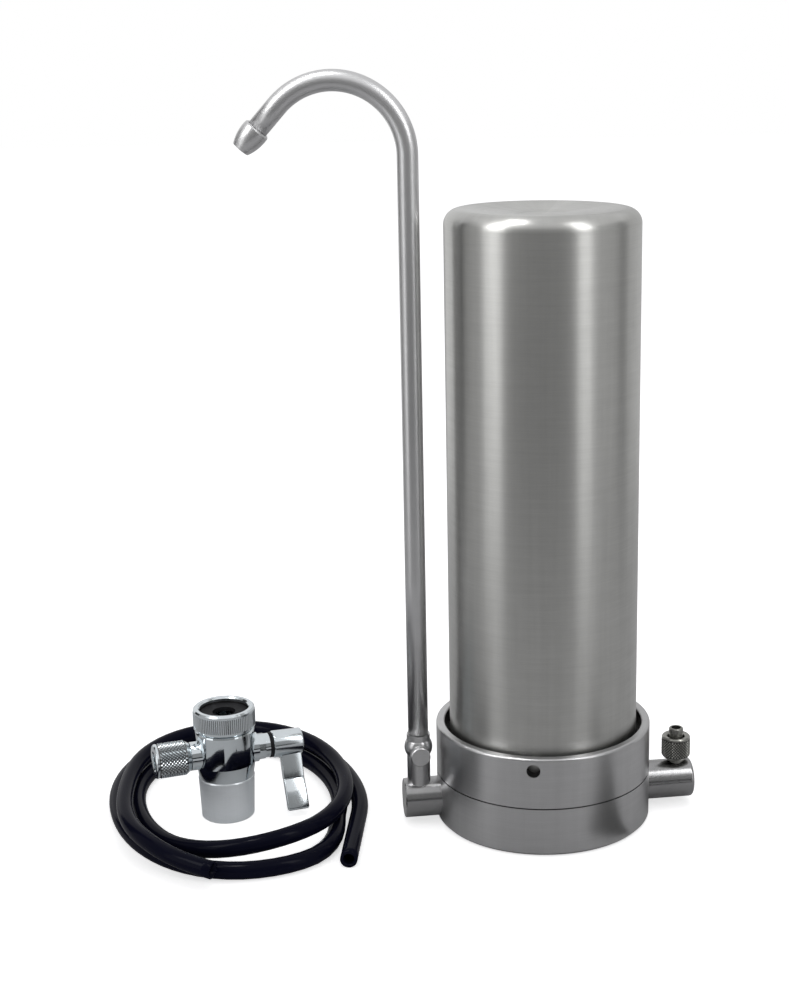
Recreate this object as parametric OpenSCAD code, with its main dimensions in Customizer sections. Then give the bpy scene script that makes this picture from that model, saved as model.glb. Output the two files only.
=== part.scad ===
// Benchtop water filter: a tall steel housing clamped to a base by a collar ring,
// a swivelling swan-neck spout, an inlet fitting, a tap diverter and a coiled hose.
// Millimetres. The origin is the centre of the base's underside, +Z is up, the two
// side stubs lie along X and the outlet is at -X.

/* [Base] */
// Step from the housing out to the side of the base and the collar ring
shoulder = 6.55; // [6.3:0.05:9]
// Height of the base's outer wall above the table
base_h = 23.2; // [22.6:0.1:26]
// Chamfer round the base's lower edge
base_chamfer = 1.2; // [0.4:0.1:2]
// Margin between the foot pad and the base's side
foot_margin = 9; // [7:0.5:20]
// Thickness of the foot pad
foot_t = 1.6; // [1.2:0.1:1.8]
// How far the foot pad stands out of the base
foot_proud = 0.6; // [0.4:0.1:1]
// Height of the chamber floor above the table
floor_h = 17; // [15.5:0.1:18]
// Step from the housing's bore in to the chamber of the base
chamber_step = 0.45; // [0.3:0.05:1.5]
// Height of the threaded upstand above the base's outer wall
upstand_h = 10.8; // [9.5:0.1:12]

/* [Collar ring] */
// Height of the collar ring
collar_h = 23.9; // [22:0.1:26]
// Wall of the collar ring at its rim
collar_wall = 4; // [3.6:0.1:4.6]
// Wall of the collar ring round the thread
collar_thread_wall = 2.7; // [2:0.1:3.2]
// Height of the lip that holds the housing's flange down
lip_h = 3.2; // [2.4:0.1:4]
// Radius of the collar's upper outer edge
collar_round = 1.2; // [0.4:0.1:2]
// Open seam between the collar ring and the base
seam_gap = 0.6; // [0.4:0.1:1]
// Diameter of the spanner holes
spanner_d = 6.3; // [5:0.1:7]
// Height of the spanner holes below the collar's rim
spanner_drop = 5.7; // [5:0.1:6.2]
// Number of spanner holes
spanner_count = 1; // [1:1:4]
// Turn of the first spanner hole from the front towards the outlet side
spanner_turn = 15.9; // [0:0.1:40]

/* [Housing] */
// Outside diameter of the housing
can_d = 88.9; // [86:0.1:90]
// Wall of the housing
can_wall = 1.5; // [1:0.1:2]
// Radius of the housing's upper edge
can_round = 6.8; // [4:0.1:10]
// Depth of the dished top below its rim
dish_depth = 2.6; // [2:0.1:6]
// Diameter of the mark in the middle of the dished top
dimple_d = 24; // [10:1:40]
// Thickness of the flange at the housing's mouth
flange_t = 2.4; // [1.8:0.1:3]

/* [Side stubs] */
// Diameter of the side stubs
stub_d = 18.6; // [16:0.1:19]
// Height of the stubs' axis above the table
stub_z = 11.5; // [11.2:0.1:12]
// How far the outlet stub stands out of the base
outlet_out = 16.4; // [15.5:0.1:23]
// How far the inlet stub stands out of the base
inlet_out = 22.5; // [21.5:0.1:29]
// Radius of the inlet stub's outer edge
inlet_round = 1.4; // [0.4:0.1:2]
// Diameter of the water passages
passage_d = 5; // [3:0.1:6]

/* [Spout] */
// Distance of the spout's post from the base's side
spout_out = 9.15; // [8.5:0.05:9.5]
// Outside diameter of the spout tube
tube_d = 9.53; // [9:0.01:9.8]
// Wall of the spout tube
tube_wall = 1; // [0.7:0.05:1.4]
// Height of the start of the spout's bend above the housing's top
spout_rise = 24; // [5:1:60]
// Radius of the spout's bend at the tube's axis
bend_r = 32.5; // [28:0.5:45]
// Angle that the spout bends through
bend_angle = 138; // [110:1:170]
// Straight length of tube after the bend
tip_straight = 16; // [10:0.1:30]
// Direction in which the spout points at rest
spout_turn = 169.24; // [90:0.01:270]
// Length of the nozzle
nozzle_l = 11.7; // [9:0.1:16]
// Widest diameter of the nozzle
nozzle_d = 12.3; // [11.6:0.1:13]
// Diameter of the nozzle's tip
nozzle_tip_d = 8.2; // [7:0.1:9]

/* [Swivel riser] */
// Diameter of the riser's post
riser_d = 10.9; // [10.4:0.1:12]
// Diameter of the riser's ball
ball_d = 13.3; // [12.8:0.1:15]
// Height of the ball's centre above the table
ball_z = 37.4; // [36:0.1:40]
// Height of the riser's top above the table
riser_top = 44; // [43.4:0.1:48]
// Diameter of the riser's neck above the ball
riser_neck_d = 11; // [10.8:0.1:12]
// Diameter of the front plug's face
plug_d = 9.2; // [7:0.1:10]
// Reach of the front plug from the riser's axis
plug_reach = 9.5; // [8.6:0.1:12]
// Height of the front plug's axis above the table
plug_z = 35.4; // [34:0.1:36]

/* [Inlet fitting] */
// Distance of the inlet fitting from the base's side
inlet_fitting_out = 15; // [13:0.1:15.5]
// Diameter of the inlet nut
inlet_nut_d = 14.05; // [13:0.05:16]
// Height of the inlet nut
inlet_nut_h = 11; // [10:0.1:14]
// Gap between the inlet nut and the stub
inlet_nut_gap = 1.9; // [1:0.1:3]
// How far the inlet barb stands out of its nut
inlet_barb_out = 3.9; // [3:0.1:6]
// Diameter of the barbs that hold the hose
barb_d = 6.9; // [6.2:0.1:7.2]
// Bore of the barbed nipples
nipple_bore = 4.6; // [3.6:0.1:4.8]

/* [Knurling] */
// Number of diamonds round the inlet nut
inlet_diamonds = 30; // [16:1:40]
// Number of diamonds round the diverter's hose nut
hose_nut_diamonds = 34; // [16:1:44]
// Depth of the diamond knurling
knurl_depth = 0.45; // [0.2:0.05:0.6]
// Number of flutes round the diverter's tap nut
flute_count = 90; // [40:2:120]
// Depth of the flutes
flute_depth = 0.35; // [0.2:0.05:0.6]

/* [Cartridge] */
// Water gap between the housing and the cartridge's end caps
cart_gap = 9.45; // [5:0.05:14]
// Length of the cartridge, which sets the height of the housing
cart_l = 248; // [120:1:510]
// Room above the cartridge, under the housing's top
cart_headroom = 14.9; // [8:0.1:25]
// Height of the cartridge above the chamber floor
cart_stand = 6; // [4:0.1:8]
// Wall of the end caps' rims
cap_wall = 1.5; // [1:0.1:3]
// Thickness of the net over the carbon block
net_t = 0.7; // [0.4:0.1:1]
// Wall of the cartridge's core tube
core_wall = 1.6; // [1.2:0.1:2]
// Thickness of the end caps
cap_t = 3; // [2:0.1:4]
// Height of the end caps' rims
cap_rim = 5; // [3:0.1:8]
// Diameter of the spigot that the cartridge sits on
spigot_d = 18; // [16:0.1:20]
// Height of the spigot above the chamber floor
spigot_h = 14; // [12:0.1:18]

/* [Tap diverter] */
// Place of the diverter along X
diverter_x = -150.7; // [-156:0.1:-148]
// Place of the diverter along Y
diverter_y = 22.8; // [18:0.1:28]
// Turn of the diverter's cross axis
diverter_turn = 11.44; // [0:0.01:30]
// Height of the diverter's satin outlet
outlet_h = 20.5; // [18:0.1:24]
// Diameter of the outlet at the table
outlet_low_d = 25.2; // [24:0.1:27]
// Diameter of the outlet at its top
outlet_top_d = 26.8; // [25:0.1:28]
// Height of the diverter body's polished barrel
barrel_h = 23.9; // [22.8:0.1:28]
// Diameter of the barrel
barrel_d = 28.2; // [27:0.1:29]
// Height of the cross axis above the table
port_z = 32; // [31.5:0.1:34]
// Height of the tap nut
tap_nut_h = 10.4; // [9.8:0.1:14]
// Diameter of the tap nut
tap_nut_d = 29.6; // [29:0.1:32]
// Bore of the tap nut at its thread
tap_thread_d = 23.2; // [22.8:0.1:24.2]
// Thickness of the tap washer
washer_t = 2; // [1.6:0.1:2.6]
// Depth of the tap washer below the nut's rim
washer_drop = 2.6; // [2.4:0.1:3.5]
// Hole in the tap washer
washer_hole = 11; // [9:0.5:14]
// Diameter of the neck on the hose side
port_neck_d = 13.6; // [12.5:0.1:14]
// Reach of that neck from the diverter's axis
port_neck_reach = 17.3; // [16:0.1:19]
// Diameter of the hose nut
hose_nut_d = 16.8; // [16:0.1:19]
// Length of the hose nut
hose_nut_l = 16.9; // [14:0.1:20]
// Diameter of the bonnet on the lever side
bonnet_d = 12.5; // [11.5:0.1:14]
// Reach of the bonnet from the diverter's axis
bonnet_reach = 21; // [19.5:0.1:23]
// Thickness of the black ring behind the lever
lever_ring_t = 1.5; // [1:0.1:2]

/* [Lever] */
// Diameter of the lever's hub
hub_d = 12.9; // [12:0.1:14]
// Length of the lever's hub
hub_l = 14.7; // [13:0.1:17]
// Width of the lever's arm
lever_w = 10.3; // [8:0.1:11]
// Thickness of the lever's arm
lever_t = 4.6; // [3.4:0.1:5]
// Length of the lever's arm from the hub's axis to the paddle
arm_l = 17.5; // [15:0.1:20]
// Length of the paddle
paddle_l = 15.5; // [12:0.1:16.5]
// Thickness of the paddle
paddle_t = 3.4; // [2.4:0.1:4]
// Forward tilt of the arm from straight down
arm_tilt = 22; // [18:1:40]
// Further tilt of the paddle
paddle_tilt = 11; // [6:1:30]

/* [Hose] */
// Outside diameter of the hose
hose_d = 8; // [7:0.1:8]
// Bore of the hose
hose_bore = 5.5; // [4.5:0.1:5.8]
// Place of the coil along X
coil_x = -145.7; // [-148:0.1:-143]
// Place of the coil along Y
coil_y = 31.2; // [28:0.1:33]
// Turn of the coil
coil_turn = -10.76; // [-12:0.01:-9]
// Half width of the outermost loop at the hose's middle
coil_a = 57.4; // [56:0.1:60]
// Half length of the outermost loop at the hose's middle
coil_b = 78.9; // [76:0.1:81]
// Lean of the loops' long axis
coil_lean = 20; // [18:0.5:22]
// Squareness of the loops, 2 being an ellipse
coil_square = 2.1; // [2:0.05:2.3]
// Step across from the outermost loop to the inner one
inner_step = 9.5; // [9:0.1:11]
// Step across from the outermost loop to the one on top
top_step = 6.5; // [6:0.1:7]
// Length of the straight tail at the front right
tail_l = 50; // [40:1:56]
// Turn at which the hose ends
coil_end = 987; // [984:1:990]

/* [Clearances] */
// Running clearance of the spout in its riser
swivel_fit = 0.06; // [0.03:0.01:0.1]
// Clearance of seated pieces in their sockets
seat_fit = 0.05; // [0.02:0.01:0.1]
// Clearance between pieces that turn or lift past each other
turn_gap = 0.3; // [0.25:0.01:0.4]
// Radial clearance of the screwed pieces
thread_gap = 0.35; // [0.3:0.01:0.45]
// Clearance between the housing and the collar's lip
lip_gap = 0.55; // [0.4:0.05:0.8]

/* [Hidden] */

$fn = 96;
eps = 0.01;

// Colours
steel = [0.62, 0.62, 0.60];
steel_dark = [0.50, 0.50, 0.49];
chrome = [0.80, 0.82, 0.84];
satin = [0.70, 0.71, 0.72];
rubber = [0.06, 0.06, 0.07];
plastic_white = [0.90, 0.90, 0.87];
carbon = [0.16, 0.16, 0.17];
hose_black = [0.04, 0.04, 0.06];

// Base and collar
can_r = can_d / 2;
can_in_r = can_r - can_wall;
base_r = can_r + shoulder;
foot_r = base_r - foot_margin;
chamber_r = can_in_r - chamber_step;
stub_r = stub_d / 2;
outlet_reach = base_r + outlet_out;
inlet_reach = base_r + inlet_out;
spout_x = base_r + spout_out;
inlet_x = base_r + inlet_fitting_out;
passage_r = passage_d / 2;
collar_bore_r = base_r - collar_wall;
thread_r = base_r - collar_thread_wall;
upstand_r = thread_r - thread_gap;
upstand_top = base_h + upstand_h;
socket_x = chamber_r + 2;
inlet_rise_x = chamber_r - passage_r - 2;
seal_cord = 2.4;
seal_r = (chamber_r + upstand_r) / 2;
seal_depth = seal_cord - turn_gap;
flange_z = upstand_top + 2 * turn_gap;
cart_z = floor_h + cart_stand;
cart_top = cart_z + cart_l;
can_top = cart_top + cart_headroom + can_wall + dish_depth;
lip_r = can_r + lip_gap;
lip_z = flange_z + flange_t + turn_gap;
collar_z = base_h + seam_gap;
collar_top = collar_z + collar_h;
spanner_z = collar_top - spanner_drop;

// Domed upper edge and dished top of the housing
crest_r = can_r - can_round;
crest_z = can_top - can_round;
dish_low = can_round - dish_depth;
dish_r = (crest_r ^ 2 + dish_low ^ 2 - can_round ^ 2) / (2 * (can_round - dish_low));
dish_z = crest_z + dish_low + dish_r;
dimple_depth = 0.6;

// Spout and riser
tube_r = tube_d / 2;
tube_in_r = tube_r - tube_wall;
bend_z = can_top + spout_rise;
riser_r = riser_d / 2;
ball_r = ball_d / 2;
plug_r = plug_d / 2;
riser_socket_z = stub_z + 2.6;
tube_seat_z = riser_top - 5.3;
insert_r = 3.5;
insert_bore_r = 1.3;
insert_z = riser_socket_z + 13;
insert_grip = 11;
insert_cord = 1.5;
insert_seal_z = [insert_z + 2.2, insert_z + 5];
pin_r = 1.1;
pin_groove_r = insert_r - 0.9;
pin_groove_h = 2 * pin_r + 0.5;
plug_shank_r = 2.5;
nozzle_grip = 3;
nozzle_wide_z = 2.8;
nozzle_lip = 0.9;
tip_lap = 0.4;
tip_swage = 0.02;

// Inlet fitting
stub_top = stub_z + stub_r;
nipple_r = 3.5;
nipple_socket_z = riser_socket_z;
inlet_nut_z = stub_top + inlet_nut_gap;
inlet_nut_top = inlet_nut_z + inlet_nut_h;
barb_r = barb_d / 2;
barb_land = 2;
barb_neck_r = barb_r - 0.5;
hose_r = hose_d / 2;
nut_mouth_r = hose_r + turn_gap;
nut_thread_l = 6.5;

// Cartridge
cart_r = can_in_r - cart_gap;
spigot_r = spigot_d / 2;
sleeve_r = spigot_r + 0.15;
sleeve_wall = 2.4;
core_in_r = sleeve_r + sleeve_wall + seat_fit;
core_r = core_in_r + core_wall;
block_in_r = core_r + seat_fit;
net_r = cart_r - cap_wall - seat_fit;
block_r = net_r - net_t;
cart_cord = 2.2;
cart_seal_z = floor_h + spigot_h - 5;

// Diverter
barrel_r = barrel_d / 2;
barrel_top = outlet_h + barrel_h;
tap_nut_z = barrel_top + 0.3;
tap_nut_top = tap_nut_z + tap_nut_h;
washer_top = tap_nut_top - washer_drop;
washer_z = washer_top - washer_t;
swivel_flange_t = 1.4;
swivel_flange_r = tap_thread_d / 2 - 0.1;
swivel_neck_r = swivel_flange_r - 1.6;
tap_relief_r = swivel_flange_r + thread_gap;
tap_lip_top = washer_z - swivel_flange_t - turn_gap;
spool_r = 4.4;
spool_bore_r = spool_r + 0.1;
spool_stem_r = 3;
spool_back = -7;
spool_seal_z = [-5.6, 7.6];
spool_cord = 1.4;
spool_slot_l = 8;
spool_port_r = 1.2;
valve_bore_r = 8;
bonnet_r = bonnet_d / 2;
hub_r = hub_d / 2;
hub_x = bonnet_reach + lever_ring_t + 2 * seat_fit;
lever_x = hub_x + hub_l - lever_w;
stem_grip = 8;
port_neck_r = port_neck_d / 2;
hose_nut_x = port_neck_reach + 0.3;
nut_body_r = 5.2;
outlet_wall = 2.2;
aerator_h = 9;

// Hose
hose_sides = 6;
loop_rings = 24;
hose_in_r = hose_bore / 2;
inner_inset = [inner_step, 1.4 * inner_step];
top_inset = [top_step, 1.7 * top_step];
end_inset = [-hose_d - 0.6, -hose_d - 0.6];
stack_z = 1.5 * hose_d + 0.6;
end_z = hose_r + 2;
inward_turns = [303, 343];
climb_turns = [596, 668];
spread_turns = [885, 1000];
drop_turns = [960, 1015];

// A smooth step from 0 to 1 over the pair of turns ab
function step(t, ab) = let(s = max(0, min(1, (t - ab[0]) / (ab[1] - ab[0])))) s * s * (3 - 2 * s);

// How far the hose lies inside the outermost loop at turn t, across and along
function inset(t) =
    inner_inset * step(t, inward_turns)
    + (top_inset - inner_inset) * step(t, climb_turns)
    + (end_inset - top_inset) * step(t, spread_turns);

// Height of the hose's middle at turn t
function lift(t) =
    hose_r + (stack_z - hose_r) * step(t, climb_turns)
    + (end_z - stack_z) * step(t, drop_turns);

// A point of the coil's loops at turn t
function loop_point(t) =
    let(half = [coil_a, coil_b] - inset(t), n = coil_square, w = t - coil_lean)
    let(r = (abs(cos(w) / half[0]) ^ n + abs(sin(w) / half[1]) ^ n) ^ (-1 / n))
    [r * cos(t), r * sin(t), lift(t)];

coil_start = -atan2((coil_b ^ 2 - coil_a ^ 2) * sin(coil_lean) * cos(coil_lean),
    (coil_a * cos(coil_lean)) ^ 2 + (coil_b * sin(coil_lean)) ^ 2);
loop_count = round((coil_end - coil_start) * loop_rings / 360);
tail_top = loop_point(coil_start);
hose_path = concat(
    [for (i = [0:3]) tail_top - [0, tail_l * (1 - i / 4), 0]],
    [for (i = [0:loop_count]) loop_point(coil_start + i * (coil_end - coil_start) / loop_count)],
    [let(p = loop_point(coil_end), q = loop_point(coil_end - 2)) p + unit(p - q) * hose_d]
);

// Least clear gap between stretches of the hose that are not neighbours
near_rings = 8;
hose_gaps = [
    for (i = [0:len(hose_path) - 1 - near_rings])
        for (j = [i + near_rings:len(hose_path) - 2])
            segment_gap(hose_path[i], hose_path[i + 1], hose_path[j], hose_path[j + 1])
];
function unit(v) = v / norm(v);
function along(a, b, s) = a + (b - a) * s;
function segment_gap(a, b, c, d) =
    min([for (s = [0:0.25:1]) for (t = [0:0.25:1]) norm(along(a, b, s) - along(c, d, t))]) - hose_d;
hose_length = sum_list([for (i = [1:len(hose_path) - 1]) norm(hose_path[i] - hose_path[i - 1])]);
function sum_list(v, i = 0) = i >= len(v) ? 0 : v[i] + sum_list(v, i + 1);
echo(least_hose_gap = min(hose_gaps), hose_length = hose_length);

// Ring k of a tube that follows path p
function path_dir(p, k) = unit(p[min(k + 1, len(p) - 1)] - p[max(k - 1, 0)]);
function tube_ring(p, k, r, n) =
    let(d = path_dir(p, k), side = unit(cross(d, [0, 0, 1])), up = cross(side, d))
    [for (i = [0:n - 1]) let(w = -90 + 360 * i / n) p[k] + r * (cos(w) * side + sin(w) * up)];

// Hollow tube with open ends along path p, as triangles
module hollow_tube(p, r_out, r_in, n) {
    m = len(p);
    outer = [for (k = [0:m - 1]) each tube_ring(p, k, r_out, n)];
    inner = [for (k = [0:m - 1]) each tube_ring(p, k, r_in, n)];
    shift = m * n;
    last = (m - 1) * n;
    faces = concat(
        [for (k = [0:m - 2]) for (i = [0:n - 1]) let(j = (i + 1) % n) each [
            [k * n + i, (k + 1) * n + i, (k + 1) * n + j],
            [k * n + i, (k + 1) * n + j, k * n + j],
            [shift + k * n + i, shift + (k + 1) * n + j, shift + (k + 1) * n + i],
            [shift + k * n + i, shift + k * n + j, shift + (k + 1) * n + j]
        ]],
        [for (i = [0:n - 1]) let(j = (i + 1) % n) each [
            [i, j, shift + j],
            [i, shift + j, shift + i],
            [last + i, shift + last + j, last + j],
            [last + i, shift + last + i, shift + last + j]
        ]]
    );
    polyhedron(points = concat(outer, inner), faces = faces);
}

// Band of raised diamonds round the Z axis, closed flat at both ends
module diamond_band(r, h, count, depth) {
    cols = 2 * count;
    rows = 2 * max(1, round(h / (2 * PI * r / count)));
    peak = function(i, k) (i + k) % 2 == 0 && k > 0 && k < rows;
    points = concat(
        [for (k = [0:rows]) for (i = [0:cols - 1])
            let(q = peak(i, k) ? r : r - depth, w = 360 * i / cols)
            [q * cos(w), q * sin(w), h * k / rows]],
        [[0, 0, 0], [0, 0, h]]
    );
    bottom = len(points) - 2;
    top = len(points) - 1;
    faces = concat(
        [for (k = [0:rows - 1]) for (i = [0:cols - 1])
            let(j = (i + 1) % cols, a = k * cols + i, b = k * cols + j)
            let(c = b + cols, d = a + cols)
            each ((i + k) % 2 == 0 ? [[a, d, b], [b, d, c]] : [[a, d, c], [a, c, b]])],
        [for (i = [0:cols - 1]) [bottom, i, (i + 1) % cols]],
        [for (i = [0:cols - 1]) [top, rows * cols + (i + 1) % cols, rows * cols + i]]
    );
    polyhedron(points = points, faces = faces);
}

// Solid of revolution between two heights and two radii
module ring(r_in, r_out, z0, z1) {
    rotate_extrude() translate([r_in, z0]) square([r_out - r_in, z1 - z0]);
}

// Round section seal lying round the Z axis
module round_seal(r, z, cord) {
    translate([0, 0, z]) rotate_extrude() translate([r, 0]) circle(d = cord, $fn = 32);
}

// Cylinder along X from x0 to x1
module rod_x(r, x0, x1) {
    translate([x0, 0, 0]) rotate([0, 90, 0]) cylinder(r = r, h = x1 - x0);
}

// Base: machined block with chamber, threaded upstand, spigot and water passages
module base_block() {
    color(steel) difference() {
        union() {
            rotate_extrude() polygon([
                [0, foot_proud],
                [base_r - base_chamfer, foot_proud],
                [base_r, foot_proud + base_chamfer],
                [base_r, base_h],
                [upstand_r, base_h],
                [upstand_r, upstand_top - 0.6],
                [upstand_r - 0.6, upstand_top],
                [chamber_r, upstand_top],
                [chamber_r, floor_h],
                [0, floor_h]
            ]);
            translate([0, 0, floor_h - eps]) difference() {
                cylinder(r = spigot_r, h = spigot_h + eps);
                spigot_edge();
            }
        }
        translate([0, 0, -eps]) cylinder(r = foot_r + seat_fit, h = foot_t + eps);
        ring(seal_r - seal_cord / 2 - seat_fit, seal_r + seal_cord / 2 + seat_fit,
            upstand_top - seal_depth, upstand_top + eps);
        ring(sleeve_r - cart_cord - 0.1, spigot_r + 1,
            cart_seal_z - cart_cord / 2 - seat_fit, cart_seal_z + cart_cord / 2 + seat_fit);
        translate([0, 0, stub_z]) {
            rod_x(stub_r + seat_fit, socket_x, base_r + 1);
            rod_x(stub_r + seat_fit, -base_r - 1, -socket_x);
            rod_x(passage_r, inlet_rise_x, socket_x + eps);
            rod_x(passage_r, -socket_x - eps, 0);
            cylinder(r = passage_r, h = floor_h + spigot_h);
            translate([inlet_rise_x, 0, 0]) cylinder(r = passage_r, h = floor_h);
        }
    }
}

// Edge break round the top of the spigot
module spigot_edge() {
    translate([0, 0, spigot_h]) rotate_extrude() polygon([
        [spigot_r - 0.8, eps],
        [spigot_r + 1, eps],
        [spigot_r + 1, -1.8]
    ]);
}

// Foot pad: rubber disc let into the underside
module foot_pad() {
    color(rubber) cylinder(r = foot_r, h = foot_t);
}

// Outlet stub: round bar with its passage, seated in the base's side
module outlet_stub() {
    color(steel) difference() {
        translate([-outlet_reach, 0, stub_z]) rotate([0, 90, 0]) {
            translate([0, 0, 0.4]) cylinder(r = stub_r, h = outlet_reach - socket_x - 0.4);
            cylinder(r1 = stub_r - 0.4, r2 = stub_r, h = 0.4);
        }
        translate([0, 0, stub_z]) rod_x(passage_r, -spout_x, -socket_x + eps);
        translate([-spout_x, 0, stub_z]) cylinder(r = passage_r, h = stub_d);
        translate([-spout_x, 0, riser_socket_z]) cylinder(r = riser_r + seat_fit, h = stub_d);
    }
}

// Inlet stub: round bar with a rounded end and its passage
module inlet_stub() {
    color(steel) difference() {
        translate([socket_x, 0, stub_z]) rotate([0, 90, 0]) rotate_extrude() union() {
            square([stub_r, inlet_reach - socket_x - inlet_round]);
            square([stub_r - inlet_round, inlet_reach - socket_x]);
            intersection() {
                translate([stub_r - inlet_round, inlet_reach - socket_x - inlet_round])
                    circle(r = inlet_round, $fn = 48);
                square([stub_r, inlet_reach - socket_x]);
            }
        }
        translate([0, 0, stub_z]) rod_x(passage_r, socket_x - eps, inlet_x);
        translate([inlet_x, 0, stub_z]) cylinder(r = passage_r, h = stub_d);
        translate([inlet_x, 0, nipple_socket_z]) cylinder(r = nipple_r + seat_fit, h = stub_d);
    }
}

// Seal between the base's upstand and the housing's flange
module housing_seal() {
    color(rubber) round_seal(seal_r, upstand_top - seal_depth + seal_cord / 2, seal_cord);
}

// Collar ring: screws onto the upstand and holds the housing's flange down
module collar_ring() {
    color(steel) difference() {
        rotate_extrude() difference() {
            union() {
                translate([lip_r, collar_z]) square([base_r - lip_r, collar_h - collar_round]);
                translate([lip_r, collar_z]) square([base_r - collar_round - lip_r, collar_h]);
                translate([base_r - collar_round, collar_top - collar_round])
                    circle(r = collar_round, $fn = 48);
            }
            translate([0, collar_z - eps]) square([thread_r, lip_z - collar_z + eps]);
            translate([0, lip_z + lip_h]) square([collar_bore_r, collar_h]);
            translate([collar_bore_r - eps, collar_top - 0.5])
                polygon([[0, 0], [0, 0.5 + eps], [0.5, 0.5 + eps]]);
        }
        for (k = [0:spanner_count - 1])
            rotate([0, 0, -90 - spanner_turn + k * 360 / spanner_count])
                translate([0, 0, spanner_z]) rod_x(spanner_d / 2, can_r, base_r + 1);
    }
}

// Half section of the domed housing, moved inwards by t, down to height z0
module can_section(t, z0) {
    touch_r = crest_r * (dish_r + t) / (dish_r + can_round);
    translate([0, z0]) square([can_r - t, crest_z - z0]);
    difference() {
        translate([0, crest_z]) square([touch_r, can_round]);
        translate([0, dish_z]) circle(r = dish_r + t, $fn = 360);
    }
    intersection() {
        translate([crest_r, crest_z]) circle(r = can_round - t, $fn = 96);
        translate([0, z0]) square([can_r, can_top - z0]);
    }
}

// Housing: deep-drawn can with a dished top and a flange round its mouth
module housing_can() {
    dimple_r = ((dimple_d / 2) ^ 2 + dimple_depth ^ 2) / (2 * dimple_depth);
    color(steel) rotate_extrude() difference() {
        union() {
            can_section(0, flange_z);
            translate([can_in_r, flange_z]) square([upstand_r - can_in_r, flange_t]);
        }
        can_section(can_wall, flange_z - eps);
        translate([0, can_top - dish_depth - dimple_depth + dimple_r])
            circle(r = dimple_r, $fn = 360);
    }
}

// Outlet riser: post with a ball and a neck that carry the swivelling spout
module outlet_riser() {
    color(steel) translate([-spout_x, 0, 0]) difference() {
        rotate_extrude() difference() {
            union() {
                translate([0, riser_socket_z]) square([riser_r, ball_z - riser_socket_z]);
                translate([0, ball_z]) square([riser_neck_d / 2, riser_top - ball_z]);
                intersection() {
                    translate([0, ball_z]) circle(r = ball_r);
                    translate([0, riser_socket_z]) square([ball_r, ball_z + ball_r]);
                }
            }
            translate([0, riser_socket_z - eps]) square([passage_r, riser_top]);
            translate([0, insert_z - 0.5]) square([insert_r + swivel_fit, riser_top]);
            translate([0, tube_seat_z - turn_gap]) square([tube_r + swivel_fit, riser_top]);
        }
        translate([0, 0, plug_z]) rotate([0, 0, -90])
            rod_x(plug_shank_r + seat_fit, insert_r - 1, ball_r + 1);
    }
}

// Front plug: round plug over the retaining pin
module riser_plug() {
    color(steel) translate([-spout_x, 0, 0]) difference() {
        translate([0, 0, plug_z]) rotate([0, 0, -90]) union() {
            difference() {
                union() {
                    rod_x(plug_r, riser_r - 2, plug_reach - 0.4);
                    translate([plug_reach - 0.4, 0, 0]) rotate([0, 90, 0])
                        cylinder(r1 = plug_r, r2 = plug_r - 0.4, h = 0.4);
                }
                translate([0, 0, ball_z - plug_z]) sphere(r = ball_r + seat_fit);
                translate([0, 0, -plug_z]) cylinder(r = riser_r + seat_fit, h = ball_z);
            }
            rod_x(plug_shank_r, insert_r + swivel_fit + 0.4, ball_r + 0.5);
        }
        translate([0, 0, plug_z]) rotate([0, 0, -90]) rod_x(pin_r, 0, plug_reach - 3);
    }
}

// Retaining pin: keeps the spout from lifting out of the riser
module retaining_pin() {
    color(steel_dark) translate([-spout_x, 0, plug_z]) rotate([0, 0, -90])
        rod_x(pin_r - seat_fit / 2, pin_groove_r + 0.2, plug_reach - 3 - seat_fit);
}

// Places children in the frame of the spout: X towards the nozzle, Z up
module at_spout() {
    translate([-spout_x, 0, 0]) rotate([0, 0, spout_turn]) children();
}

// Round bar of radius r along the spout's bend and both of its straights. The last
// straight is a hair wider, as drawn over the end of the bend.
module spout_bar(r, z0, l_tip) {
    translate([0, 0, z0]) cylinder(r = r, h = bend_z - z0);
    translate([bend_r, 0, bend_z]) mirror([1, 0, 0]) rotate([90, 0, 0])
        rotate_extrude(angle = bend_angle) translate([bend_r, 0]) circle(r = r);
    at_bend_end() translate([0, 0, -tip_lap]) cylinder(r = r + tip_swage, h = l_tip + tip_lap);
}

// Places children at the end of the bend, Z along the tube
module at_bend_end() {
    translate([bend_r - bend_r * cos(bend_angle), 0, bend_z + bend_r * sin(bend_angle)])
        rotate([0, bend_angle, 0]) children();
}

// Spout tube: swan neck
module spout_tube() {
    color(steel) at_spout() difference() {
        spout_bar(tube_r, tube_seat_z, tip_straight);
        translate([0, 0, -eps]) cylinder(r = tube_in_r, h = tube_seat_z + 2 * eps);
        spout_bar(tube_in_r, tube_seat_z, tip_straight + 1);
    }
}

// Spout insert: pressed into the tube, with seal grooves and the pin's groove
module spout_insert() {
    color(steel_dark) translate([-spout_x, 0, 0]) rotate_extrude() difference() {
        union() {
            translate([0, insert_z]) square([insert_r, tube_seat_z - insert_z]);
            translate([0, tube_seat_z - eps]) square([tube_in_r, insert_grip]);
        }
        translate([0, insert_z - eps]) square([insert_bore_r, riser_top]);
        for (z = insert_seal_z)
            translate([insert_r + swivel_fit - insert_cord, z - insert_cord / 2 - seat_fit])
                square([insert_cord, insert_cord + 2 * seat_fit]);
        translate([pin_groove_r, plug_z - pin_groove_h / 2]) square([insert_r, pin_groove_h]);
    }
}

// Two seals on the spout insert
module insert_seals() {
    color(rubber) translate([-spout_x, 0, 0]) for (z = insert_seal_z)
        round_seal(insert_r - insert_cord / 2 + seat_fit, z, insert_cord - seat_fit);
}

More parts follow.
